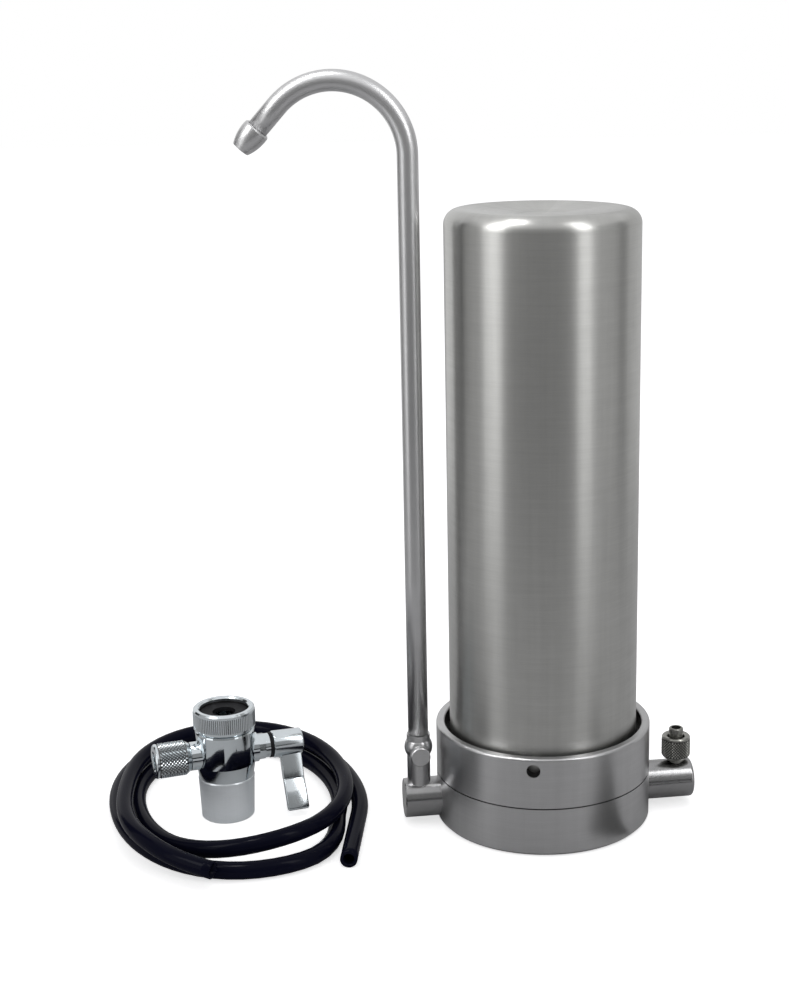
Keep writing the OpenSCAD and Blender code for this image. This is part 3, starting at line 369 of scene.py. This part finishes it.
# The spout's tube: radius, wall, turn of its bend, straight tip, and heights of its upright
TUBE_R = 0.004765
TUBE_WALL = 0.001
BEND_ANGLE = math.radians(138)
TIP_STRAIGHT = 0.016
TUBE_HEIGHTS = (0.0387, 0.12, 0.20, 0.28)

# The knurled nuts, and where they stand
INLET_AXIS = Vector((0.066, 0.0, 0.0))
INLET_NUT_Z = 0.0227
INLET_NUT = {"radius": 0.007025, "length": 0.011, "count": 30, "depth": 0.00045,
             "lead": 0.0009, "rim": 0.0015, "thread": 0.0065}
HOSE_NUT_X = -0.0176
HOSE_NUT = {"radius": 0.0084, "length": 0.0169, "count": 30, "depth": 0.0006,
            "lead": 0.0018, "rim": 0.0018, "thread": 0.0095}

# Radii over which a finish is painted darker towards its axis, and between which heights: painted
# shade in the collar's gap, painted shade and dirt in the flutes and knurl grooves
COLLAR_GAP_PAINTED_SHADE = ((0.0504, 0.0506), (0.0229, 0.0466))
TAP_NUT_FLUTE_SHADE_AND_DIRT = ((0.01445, 0.0147), (0.0462, 0.0533))
INLET_NUT_GROOVE_SHADE_AND_DIRT = ((0.0066, 0.0068), (0.0236, 0.0322))
HOSE_NUT_GROOVE_SHADE_AND_DIRT = ((0.0078, 0.0081), (0.0018, 0.0151))
TOP_MARK_R = 0.0125

# The lever: its hub along X, and outlines of its arm and paddle in XZ with their sides in Y
HUB_REACH = (0.0226, 0.0373)
HUB_RADII = (0.0066, 0.00625)
ARM_LENGTH = 0.0175
ARM_HALF = 0.0023
ARM_OUTLINE = ((0.0, -ARM_HALF), (ARM_LENGTH, -ARM_HALF), (ARM_LENGTH, ARM_HALF), (0.0, ARM_HALF))
ARM_SIDES = (0.0262, 0.0362)
PAD_OUTLINE = ((-0.0008, -0.0012), (0.0143, -0.0017), (0.0156, -0.0002), (0.0152, 0.0017),
               (0.0064, 0.0019), (-0.0008, 0.0016))
PAD_SIDES = (0.0261, 0.0364)

# Frames of the lever's arm and paddle in the diverter's frame: X along them, Y across
LEVER_ARM = (Matrix.Translation((0.0, 0.0, PORT_Z)) @ Matrix.Rotation(-math.pi / 2, 4, "Z")
             @ Matrix.Rotation(math.radians(68), 4, "Y"))
LEVER_PAD = (LEVER_ARM @ Matrix.Translation((ARM_LENGTH, 0.0, 0.0))
             @ Matrix.Rotation(math.radians(-11), 4, "Y"))


def grow(made, edges, radius, height):
    """Extrudes a ring of edges round Z to a new radius and height; returns the new ring."""
    grown = bmesh.ops.extrude_edge_only(made, edges=edges)["geom"]
    moved = {part for part in grown if isinstance(part, bmesh.types.BMVert)}
    for vert in moved:
        flat = Vector((vert.co.x, vert.co.y)).normalized() * radius
        vert.co = (flat.x, flat.y, height)
    return [part for part in grown if isinstance(part, bmesh.types.BMEdge)
            and set(part.verts) <= moved]


def knurled_band(radius, depth, low, high, count):
    """An open band of raised diamonds round Z, and its bottom and top rings of edges."""
    pitch = 2 * math.pi * radius / count
    rows = max(1, round((high - low) / pitch))
    made = bmesh.new()
    bmesh.ops.create_grid(made, x_segments=count, y_segments=rows, size=0.5)
    bmesh.ops.poke(made, faces=made.faces[:])
    core = radius - depth
    for vert in made.verts:
        angle = 2 * math.pi * (vert.co.x + 0.5)
        vert.co = (core * math.cos(angle), core * math.sin(angle),
                   low + (high - low) * (vert.co.y + 0.5))
    bmesh.ops.remove_doubles(made, verts=made.verts[:], dist=NEAR)

    def is_slanted(edge):
        gap = edge.verts[1].co - edge.verts[0].co
        return abs(gap.z) > NEAR and gap.xy.length > NEAR

    borders = [edge for edge in made.edges if not is_slanted(edge) and not edge.is_boundary]
    bmesh.ops.dissolve_edges(made, edges=borders)
    diamonds = [face for face in made.faces if len(face.verts) == 4]
    bmesh.ops.poke(made, faces=diamonds, offset=depth)
    ends = [edge for edge in made.edges if edge.is_boundary]
    return made, [[edge for edge in ends if abs(edge.verts[0].co.z - z) < NEAR]
                  for z in (low, high)]


def knurled_nut(radius, length, count, depth, lead, rim, thread):
    """A compression nut on the XY plane, mouth up: knurled band, rims and stepped bore."""
    core = radius - depth
    nut, (bottom, top) = knurled_band(radius, depth, lead, length - rim, count)
    hose, bore = 0.0043, 0.0052
    for place in ((radius - 0.0002, length - rim + 0.0003), (radius - 0.0002, length - 0.0006),
                  (radius - 0.0004, length - 0.0003), (radius - 0.0007, length),
                  (hose + 0.0006, length), (hose, length - 0.0005), (hose, thread + 0.0012),
                  (bore, thread), (bore, 0.0), (core - 0.6 * lead - 0.0001, 0.0)):
        top = grow(nut, top, *place)
    bmesh.ops.bridge_loops(nut, edges=top + bottom)
    return nut


def bevel_all(made, width, segments, edges=None):
    """Rounds edges of a bmesh."""
    bmesh.ops.bevel(made, geom=edges or made.edges[:], offset=width, offset_type="OFFSET",
                    segments=segments, profile=0.5, affect="EDGES", clamp_overlap=True, material=-1)


def slab(outline, low, high, width):
    """A flat outline in XZ drawn out along Y from low to high, its edges rounded."""
    made = bmesh.new()
    face = made.faces.new([made.verts.new((x, low, z)) for x, z in outline])
    drawn = bmesh.ops.extrude_face_region(made, geom=[face])["geom"]
    moved = [part for part in drawn if isinstance(part, bmesh.types.BMVert)]
    bmesh.ops.translate(made, vec=(0, high - low, 0), verts=moved)
    bmesh.ops.recalc_face_normals(made, faces=made.faces)
    bevel_all(made, width, 3)
    return made


def join(target, *others):
    """Adds the shells of other bmeshes to one."""
    for other in others:
        mesh = bpy.data.meshes.new("shell")
        other.to_mesh(mesh)
        other.free()
        target.from_mesh(mesh)
        bpy.data.meshes.remove(mesh)
    return target


def crisp(made, limit=18.0):
    """Smooth shading, broken at edges sharper than a limit in degrees."""
    bmesh.ops.recalc_face_normals(made, faces=made.faces)
    for face in made.faces:
        face.smooth = True
    for edge in made.edges:
        edge.smooth = edge.calc_face_angle(0.0) < math.radians(limit)


def smooth_step(value, span):
    """0 before the span, 1 after it, and smooth between."""
    part = max(0.0, min(1.0, (value - span[0]) / (span[1] - span[0])))
    return part * part * (3 - 2 * part)


# The hose's route, as in the part's source, in metres and degrees
COIL_PLACE = Vector((-0.1457, 0.0312, 0.0))
COIL_TURN = -10.76
COIL_LEAN = 20
COIL_SQUARE = 2.1
COIL_END = 987
INNER_INSET = (0.0095, 0.0133)
TOP_INSET = (0.0065, 0.01105)
END_INSET = (-0.0086, -0.0086)
# Turns over which the coil steps inwards, climbs, spreads and drops
INWARD_TURNS = (303, 343)
CLIMB_TURNS = (596, 668)
SPREAD_TURNS = (885, 1000)
DROP_TURNS = (960, 1015)
# Heights of the hose's middle: on the floor, on the loop below, and at its end
HOSE_LOW = 0.004
HOSE_STACKED = 0.0126
HOSE_END_HEIGHT = 0.006


def loop_point(size, turn):
    """A point of the coil at a turn in degrees."""
    inward = smooth_step(turn, INWARD_TURNS)
    climb = smooth_step(turn, CLIMB_TURNS)
    spread = smooth_step(turn, SPREAD_TURNS)
    drop = smooth_step(turn, DROP_TURNS)
    half = []
    for axis, whole in enumerate((size.half_width, size.half_length)):
        inset = (INNER_INSET[axis] * inward + (TOP_INSET[axis] - INNER_INSET[axis]) * climb
                 + (END_INSET[axis] - TOP_INSET[axis]) * spread)
        half.append(whole - inset)
    lean = math.radians(turn - COIL_LEAN)
    reach = (abs(math.cos(lean) / half[0]) ** COIL_SQUARE
             + abs(math.sin(lean) / half[1]) ** COIL_SQUARE) ** (-1 / COIL_SQUARE)
    height = (HOSE_LOW + (HOSE_STACKED - HOSE_LOW) * climb
              + (HOSE_END_HEIGHT - HOSE_STACKED) * drop)
    angle = math.radians(turn)
    return Vector((reach * math.cos(angle), reach * math.sin(angle), height))


def hose_route(size):
    """The points that the hose follows, in the row frame."""
    a, b, lean = size.half_width, size.half_length, math.radians(COIL_LEAN)
    start = -math.degrees(math.atan2((b * b - a * a) * math.sin(lean) * math.cos(lean),
                                     (a * math.cos(lean)) ** 2 + (b * math.sin(lean)) ** 2))
    count = round((COIL_END - start) * size.rings / 360)
    top = loop_point(size, start)
    tail_steps = 12
    route = [top - Vector((0, size.tail * (1 - i / tail_steps), 0)) for i in range(tail_steps)]
    route += [loop_point(size, start + i * (COIL_END - start) / count) for i in range(count + 1)]
    last = route[-1]
    ahead = (last - loop_point(size, COIL_END - 2)).normalized() * size.diameter
    route += [last + ahead * i / 2 for i in (1, 2)]
    place = Matrix.Translation(COIL_PLACE) @ Matrix.Rotation(math.radians(COIL_TURN), 4, "Z")
    return [place @ point for point in route]


def across_route(route, index, upward):
    """Turn and place of a tube's section at one point of its route."""
    ahead = (route[min(index + 1, len(route) - 1)] - route[max(index - 1, 0)]).normalized()
    side = ahead.cross(upward).normalized()
    up = side.cross(ahead)
    turned = Matrix((side, up, ahead)).transposed().to_4x4()
    return Matrix.Translation(route[index]) @ turned


def link_piece(name, shape, material, body):
    """A new piece from a bmesh, with its material and body."""
    mesh = bpy.data.meshes.new(name)
    shape.to_mesh(mesh)
    shape.free()
    mesh.materials.append(material)
    made = bpy.data.objects.new(name, mesh)
    bpy.context.collection.objects.link(made)
    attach(made, body)
    return made


def sweep(route, radius, sides, upward=Vector((0, 0, 1))):
    """A tube without ends along a route, in a bmesh."""
    made = bmesh.new()
    bmesh.ops.create_circle(made, segments=sides, radius=radius, cap_ends=False)
    bmesh.ops.transform(made, matrix=across_route(route, 0, upward), verts=made.verts)
    edges = made.edges[:]
    for index in range(1, len(route)):
        step = (across_route(route, index, upward)
                @ across_route(route, index - 1, upward).inverted())
        grown = bmesh.ops.extrude_edge_only(made, edges=edges)["geom"]
        edges = [part for part in grown if isinstance(part, bmesh.types.BMEdge)
                 and all(v in grown for v in part.verts) and len(part.link_faces) == 1]
        bmesh.ops.transform(made, matrix=step, verts=list({v for e in edges for v in e.verts}))
    crisp(made)
    return made


def hollow(piece, thickness):
    """Gives a tube without ends its wall, inwards from its surface."""
    wall = piece.modifiers.new("Wall", "SOLIDIFY")
    wall.thickness = thickness
    wall.offset = -1.0
    wall.use_even_offset = True


class FILTER_OT_steel(bpy.types.Operator):
    """Brush the housing, the collar ring, the base, its stubs, the riser and the spout"""

    bl_idname = "water_filter.steel"
    bl_label = "Brushed steel"

    def execute(self, context):
        finish = context.scene.filter_finish
        turned = shared_group("Turned grain", turned_grain_group)
        drawn = shared_group("Drawn grain", drawn_grain_group)
        rough = finish.steel_roughness
        housing = brushed("Housing steel", turned, finish.housing, rough, contrast=0.62,
                          anisotropy=0.7)
        put_on(press_mark(housing, TOP_MARK_R, height=14.0), "housing_can")
        put_on(brushed("Machined steel", turned, finish.steel, rough), "base_block")
        collar = brushed("Collar steel", turned, finish.steel, rough)
        # Painted shade: the collar's inner wall above the flange is painted near-black, for the
        # shade in the gap round the housing
        put_on(paint_shade_and_dirt_inside(collar, *COLLAR_GAP_PAINTED_SHADE), "collar_ring")
        put_on(brushed("Bar steel", turned, toned(finish.steel, 0.68), 0.22, contrast=0.7,
                       anisotropy=0.0, turn=(0.0, math.pi / 2, 0.0)), *STUBS)
        put_on(brushed("Riser steel", turned, finish.steel, 0.30, place=-SPOUT_AXIS),
               "outlet_riser", "riser_plug")
        back = Matrix.Rotation(-SPOUT_TURN, 4, "Z")
        tube_steel = brushed("Drawn steel", drawn, toned(finish.steel, 1.15), 0.36, contrast=0.3,
                             anisotropy=0.0, place=back @ -SPOUT_AXIS,
                             turn=(0.0, 0.0, -SPOUT_TURN))
        put_on(tube_steel, "spout_nozzle")
        self.swan_neck(tube_steel)
        return {"FINISHED"}

    def swan_neck(self, material):
        """The spout's tube: upright, bend and short straight end, with its wall."""
        bend, steps = BEND_ANGLE, 48
        centre = Vector((BEND_R, 0.0, BEND_Z))
        route = [Vector((0.0, 0.0, z)) for z in TUBE_HEIGHTS]
        route += [centre + Vector((-math.cos(bend * i / steps), 0, math.sin(bend * i / steps)))
                  * BEND_R for i in range(steps + 1)]
        route.append(route[-1] + Vector((math.sin(bend), 0, math.cos(bend))) * TIP_STRAIGHT)
        stand = Matrix.Translation(SPOUT_AXIS) @ Matrix.Rotation(SPOUT_TURN, 4, "Z")
        sideways = stand.to_3x3() @ Vector((0, 1, 0))
        tube = sweep([stand @ point for point in route], TUBE_R, 48, sideways)
        piece = link_piece("swan_neck", tube, material, "spout")
        hollow(piece, TUBE_WALL)
        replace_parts(piece, "spout_tube")


class FILTER_OT_fittings(bpy.types.Operator):
    """Finish the inlet fitting, the pin, the spout's insert and the valve spool in dark steel"""

    bl_idname = "water_filter.fittings"
    bl_label = "Inlet fitting"

    def execute(self, context):
        finish = context.scene.filter_finish
        turned = shared_group("Turned grain", turned_grain_group)
        place = -INLET_AXIS
        material = brushed("Fitting steel", turned, finish.dark_steel, 0.3, place=place)
        put_on(material, *DARK_STEEL)
        material = brushed("Knurled steel", turned, toned(finish.dark_steel, 1.25), 0.3,
                           place=place)
        # Painted shade and dirt: the knurl's grooves are painted darker towards the nut's axis
        paint_shade_and_dirt_inside(material, *INLET_NUT_GROOVE_SHADE_AND_DIRT, grey=0.08)
        nut = knurled_nut(**INLET_NUT)
        bmesh.ops.translate(nut, vec=Vector((0, 0, INLET_NUT_Z)) - place, verts=nut.verts)
        crisp(nut)
        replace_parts(link_piece("knurled_inlet_nut", nut, material, "inlet_nut"),
                    "inlet_nut")
        return {"FINISHED"}


class FILTER_OT_diverter(bpy.types.Operator):
    """Plate the tap diverter, polished above and satin at its outlet"""

    bl_idname = "water_filter.diverter"
    bl_label = "Tap diverter"

    def execute(self, context):
        finish = context.scene.filter_finish
        put_on(plated("Polished chrome", finish.chrome, finish.chrome_roughness), *CHROME)
        upright = DIVERTER.inverted()
        fluted = plated("Fluted chrome", finish.chrome, 0.14,
                        upright.translation, upright.to_euler())
        # Painted shade and dirt: the flutes are painted darker towards the nut's axis
        put_on(paint_shade_and_dirt_inside(fluted, *TAP_NUT_FLUTE_SHADE_AND_DIRT, grey=0.25), "tap_nut")
        turned = shared_group("Turned grain", turned_grain_group)
        put_on(brushed("Satin chrome", turned, finish.satin, 0.32, contrast=0.35, metal=0.6,
                       place=-DIVERTER.translation), "diverter_outlet")
        self.hose_nut(finish.chrome)
        self.lever(plated("Worn chrome", finish.chrome, 0.17))
        return {"FINISHED"}

    def hose_nut(self, tint):
        """The knurled nut that clamps the hose, mouth away from the body."""
        nut = knurled_nut(**HOSE_NUT)
        aside = (DIVERTER @ Matrix.Translation((HOSE_NUT_X, 0.0, PORT_Z))
                 @ Matrix.Rotation(-math.pi / 2, 4, "Y"))
        bmesh.ops.transform(nut, matrix=aside, verts=nut.verts)
        crisp(nut)
        back = aside.inverted()
        material = plated("Knurled chrome", tint, 0.18, back.translation, back.to_euler())
        # Painted shade and dirt: the knurl's grooves are painted darker towards the nut's axis
        paint_shade_and_dirt_inside(material, *HOSE_NUT_GROOVE_SHADE_AND_DIRT, grey=0.22)
        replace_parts(link_piece("knurled_hose_nut", nut, material, "hose_nut"),
                    "hose_nut")

    def lever(self, material):
        """The lever: a round hub, a flat arm and a thumb paddle with rounded corners."""
        near, far = HUB_REACH
        hub = bmesh.new()
        bmesh.ops.create_cone(hub, segments=64, radius1=HUB_RADII[0], radius2=HUB_RADII[1],
                              depth=far - near, cap_ends=True)
        rims = [edge for edge in hub.edges if abs(edge.verts[0].co.z - edge.verts[1].co.z) < NEAR]
        bevel_all(hub, 0.0008, 4, rims)
        along = (Matrix.Translation(((near + far) / 2, 0, PORT_Z))
                 @ Matrix.Rotation(math.pi / 2, 4, "Y"))
        bmesh.ops.transform(hub, matrix=along, verts=hub.verts)
        arm = slab(ARM_OUTLINE, *ARM_SIDES, 0.0005)
        bmesh.ops.transform(arm, matrix=LEVER_ARM, verts=arm.verts)
        pad = slab(PAD_OUTLINE, *PAD_SIDES, 0.0007)
        bmesh.ops.transform(pad, matrix=LEVER_PAD, verts=pad.verts)
        whole = join(hub, arm, pad)
        bmesh.ops.transform(whole, matrix=DIVERTER, verts=whole.verts)
        crisp(whole, 40.0)
        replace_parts(link_piece("polished_lever", whole, material, "lever"),
                    "diverter_lever")


class FILTER_OT_soft_parts(bpy.types.Operator):
    """Give the pads, seals and washers their rubber"""

    bl_idname = "water_filter.soft_parts"
    bl_label = "Rubber parts"

    def execute(self, context):
        finish = context.scene.filter_finish
        moulded = shared_group("Moulded", moulded_group)
        put_on(new_material("Black rubber", moulded, finish.rubber, roughness=0.6, contrast=0.5,
                            bump=0.3, Specular_IOR_Level=0.15), *RUBBER)
        return {"FINISHED"}


class FILTER_OT_cartridge(bpy.types.Operator):
    """Finish the cartridge inside the housing"""

    bl_idname = "water_filter.cartridge"
    bl_label = "Cartridge"

    def execute(self, context):
        finish = context.scene.filter_finish
        moulded = shared_group("Moulded", moulded_group)
        put_on(new_material("White plastic", moulded, finish.plastic, roughness=0.4,
                            contrast=0.12, bump=0.2), *WHITE_PLASTIC)
        put_on(new_material("Net", moulded, finish.plastic, roughness=0.65, contrast=0.35,
                            bump=0.8), "cartridge_net")
        put_on(new_material("Carbon block", moulded, finish.carbon, roughness=0.8, contrast=0.9,
                            bump=1.0), "cartridge_block")
        return {"FINISHED"}


class FILTER_OT_hose(bpy.types.Operator):
    """Sweep the hose along its coil, hollow and open at both ends"""

    bl_idname = "water_filter.hose"
    bl_label = "Hose"

    def execute(self, context):
        size = context.scene.filter_hose
        route = hose_route(size)
        moulded = shared_group("Moulded", moulded_group)
        material = new_material("Hose black", moulded, size.tint, roughness=0.15, contrast=0.3,
                                bump=0.05, Specular_IOR_Level=0.2, IOR=1.2)
        tube = sweep(route, size.diameter / 2, size.sides)
        piece = link_piece("coiled_hose", tube, material, "base")
        hollow(piece, (size.diameter - size.bore) / 2)
        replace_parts(piece, "hose")
        return {"FINISHED"}


def soft_box(name, turn, reach, height, size, power, target):
    """An area lamp on a circle round the filter, turned to a target."""
    data = bpy.data.lights.new(name, "AREA")
    data.shape = "RECTANGLE"
    data.size, data.size_y = size
    data.energy = power
    lamp = bpy.data.objects.new(name, data)
    bpy.context.collection.objects.link(lamp)
    angle = math.radians(turn)
    lamp.location = (reach * math.sin(angle), -reach * math.cos(angle), height)
    look = Vector(target) - lamp.location
    lamp.rotation_euler = look.to_track_quat("-Z", "Y").to_euler()
    lamp.visible_glossy = False


def reflected(name, card, strength):
    """A card that glows white and that only reflections see."""
    mesh = bpy.data.meshes.new(name)
    card.to_mesh(mesh)
    card.free()
    material = bpy.data.materials.new(name)
    material.use_nodes = True
    tree = material.node_tree
    tree.nodes.clear()
    glow = add(tree, "ShaderNodeEmission", {"Color": (1, 1, 1, 1), "Strength": strength})
    add(tree, "ShaderNodeOutputMaterial", {"Surface": glow.outputs[0]})
    mesh.materials.append(material)
    made = bpy.data.objects.new(name, mesh)
    bpy.context.collection.objects.link(made)
    made.visible_camera = False
    made.visible_diffuse = False
    made.visible_shadow = False
    made.visible_transmission = False
    made.visible_volume_scatter = False


def panel(name, turns, reach, heights, strength):
    """An upright curved panel round the filter, between two turns from the front."""
    card = bmesh.new()
    start = Matrix.Rotation(math.radians(turns[0]), 3, "Z") @ Vector((0, -reach, heights[0]))
    low = card.verts.new(start)
    high = card.verts.new(start + Vector((0, 0, heights[1] - heights[0])))
    edge = card.edges.new((low, high))
    bmesh.ops.spin(card, geom=[low, high, edge], axis=(0, 0, 1), cent=(0, 0, 0),
                   angle=math.radians(turns[1] - turns[0]), steps=24)
    reflected(name, card, strength)


def level_card(name, place, size, strength):
    """A level card at a place, for reflections only."""
    card = bmesh.new()
    bmesh.ops.create_grid(card, x_segments=1, y_segments=1, size=0.5)
    bmesh.ops.transform(card, matrix=place @ Matrix.Diagonal((*size, 1.0, 1.0)), verts=card.verts)
    reflected(name, card, strength)


def seen_directly(tree, in_metal):
    """1 for the camera and through glass, and in_metal for reflections."""
    path = add(tree, "ShaderNodeLightPath").outputs
    glossy = maths(tree, "MULTIPLY", path["Is Glossy Ray"], in_metal)
    first = maths(tree, "ADD", path["Is Camera Ray"], glossy)
    return maths(tree, "ADD", first, path["Is Transmission Ray"], clamp=True)


# Top of the room that the metal sees
ROOM_TOP = 0.62

# Panels beside and behind the filter: turns from the front in degrees, reach and brightness
SIDE_PANELS = (
    ("side_right", (46, 84), 0.67, 0.5),
    ("rim_right", (100, 165), 0.67, 0.6),
    ("side_left", (-112, -80), 0.67, 0.42),
    ("flag_left", (-128, -112), 0.66, 0.03),
    ("rim_left", (-165, -128), 0.67, 0.8),
)

# The camera as fitted to the photograph: place, turn in degrees, lens in mm and shift
CAMERA_PLACE = (-0.14954, -0.75748, 0.36027)
CAMERA_TURN = (76.354, 0.557, -8.929)
CAMERA_LENS = 62.788
CAMERA_SHIFT = (-0.08, -0.03)


class FILTER_OT_stage(bpy.types.Operator):
    """Set up the floor, the background, the soft boxes and the camera"""

    bl_idname = "water_filter.stage"
    bl_label = "Studio"

    def execute(self, context):
        studio = context.scene.filter_studio
        self.floor(studio.floor_grey)
        self.background(context.scene)
        middle = (-0.05, 0.0, 0.14)
        for name, turn in (("Left box", -65), ("Right box", 38)):
            soft_box(name, turn, 1.3, 0.75, (0.35, 0.8), studio.side_power, middle)
        soft_box("Top box", 150, 0.35, 1.3, (0.9, 0.9), studio.top_power, middle)
        self.reflections(studio)
        self.camera(context.scene)
        context.scene.view_settings.view_transform = "Standard"
        return {"FINISHED"}

    def reflections(self, studio):
        """What the metal sees: a grey room, two tall panels with lamps over them, dark flags."""
        panel("room", (-165, 165), 0.70, (-0.02, ROOM_TOP), studio.room_grey)
        panel("skirt", (-55, 28), 0.68, (-0.02, 0.12), 0.03)
        for side, turns in (("left", (-80, -58)), ("right", (29, 46))):
            panel(f"strip_{side}", turns, 0.66, (0.0, 0.45), studio.strip)
            panel(f"lamp_{side}", turns, 0.66, (0.45, 1.3), studio.lamp)
        for name, turns, reach, strength in SIDE_PANELS:
            panel(name, turns, reach, (0.0, ROOM_TOP), strength)
        low = (Matrix.Translation((0.078, -0.080, 0.0006))
               @ Matrix.Rotation(math.radians(-30), 4, "Z"))
        level_card("floor_shade", low, (0.11, 0.034), 0.04)
        high = Matrix.Translation((-0.32, -0.12, 1.1))
        level_card("overhead_lamp", high, (0.16, 0.12), 30.0)

    def floor(self, grey):
        """A white floor that keeps the filter's shadow, and is greyer in reflections."""
        plane = bmesh.new()
        bmesh.ops.create_grid(plane, x_segments=1, y_segments=1, size=6.0)
        mesh = bpy.data.meshes.new("floor")
        plane.to_mesh(mesh)
        plane.free()
        material = bpy.data.materials.new("Floor white")
        material.use_nodes = True
        tree = material.node_tree
        tree.nodes.clear()
        white = 0.9
        seen = add(tree, "ShaderNodeLightPath").outputs["Is Glossy Ray"]
        shade = maths(tree, "MULTIPLY_ADD", seen, grey - white)
        shade.node.inputs[2].default_value = white
        paper = add(tree, "ShaderNodeBsdfDiffuse", {"Color": shade})
        glow = add(tree, "ShaderNodeEmission",
                   {"Strength": maths(tree, "MULTIPLY", seen_directly(tree, 0.0), 0.62)})
        both = add(tree, "ShaderNodeAddShader", {0: paper.outputs[0], 1: glow.outputs[0]})
        add(tree, "ShaderNodeOutputMaterial", {"Surface": both.outputs[0]})
        mesh.materials.append(material)
        made = bpy.data.objects.new("floor", mesh)
        bpy.context.collection.objects.link(made)

    def background(self, scene):
        """White for the camera and in reflections, and a soft grey light otherwise."""
        world = bpy.data.worlds.new("Studio")
        scene.world = world
        world.use_nodes = True
        tree = world.node_tree
        tree.nodes.clear()
        soft = add(tree, "ShaderNodeBackground", {"Color": (0.55, 0.55, 0.56, 1), "Strength": 1.0})
        white = add(tree, "ShaderNodeBackground", {"Color": (1, 1, 1, 1), "Strength": 1.0})
        either = add(tree, "ShaderNodeMixShader",
                     {0: seen_directly(tree, 0.55), 1: soft.outputs[0], 2: white.outputs[0]})
        add(tree, "ShaderNodeOutputWorld", {"Surface": either.outputs[0]})

    def camera(self, scene):
        """The camera that took the photograph, as fitted to it."""
        data = bpy.data.cameras.new("Camera")
        data.sensor_width = 36.0
        data.lens = CAMERA_LENS
        data.shift_x, data.shift_y = CAMERA_SHIFT
        made = bpy.data.objects.new("Camera", data)
        bpy.context.collection.objects.link(made)
        made.location = CAMERA_PLACE
        made.rotation_euler = [math.radians(angle) for angle in CAMERA_TURN]
        scene.camera = made


OPERATORS = (FILTER_OT_stage, FILTER_OT_hose, FILTER_OT_steel, FILTER_OT_fittings,
             FILTER_OT_diverter, FILTER_OT_soft_parts, FILTER_OT_cartridge)


class FILTER_PT_panel(bpy.types.Panel):
    """Steps that dress the water filter"""

    bl_idname = "FILTER_PT_panel"
    bl_label = "Water filter"
    bl_space_type = "VIEW_3D"
    bl_region_type = "UI"
    bl_category = "Water filter"

    def draw(self, context):
        for operator in OPERATORS:
            self.layout.operator(operator.bl_idname)


CLASSES = (FilterFinish, FilterHose, FilterStudio, *OPERATORS, FILTER_PT_panel)


def register():
    """Registers the classes and hangs the settings on the scene."""
    for cls in CLASSES:
        bpy.utils.register_class(cls)
    bpy.types.Scene.filter_finish = PointerProperty(type=FilterFinish)
    bpy.types.Scene.filter_hose = PointerProperty(type=FilterHose)
    bpy.types.Scene.filter_studio = PointerProperty(type=FilterStudio)


def unregister():
    """Takes the settings and the classes away again."""
    del bpy.types.Scene.filter_studio
    del bpy.types.Scene.filter_hose
    del bpy.types.Scene.filter_finish
    for cls in reversed(CLASSES):
        bpy.utils.unregister_class(cls)


def main():
    """Dresses the filter."""
    register()
    for operator in OPERATORS:
        group, name = operator.bl_idname.split(".")
        getattr(getattr(bpy.ops, group), name)()


if __name__ == "__main__":
    main()
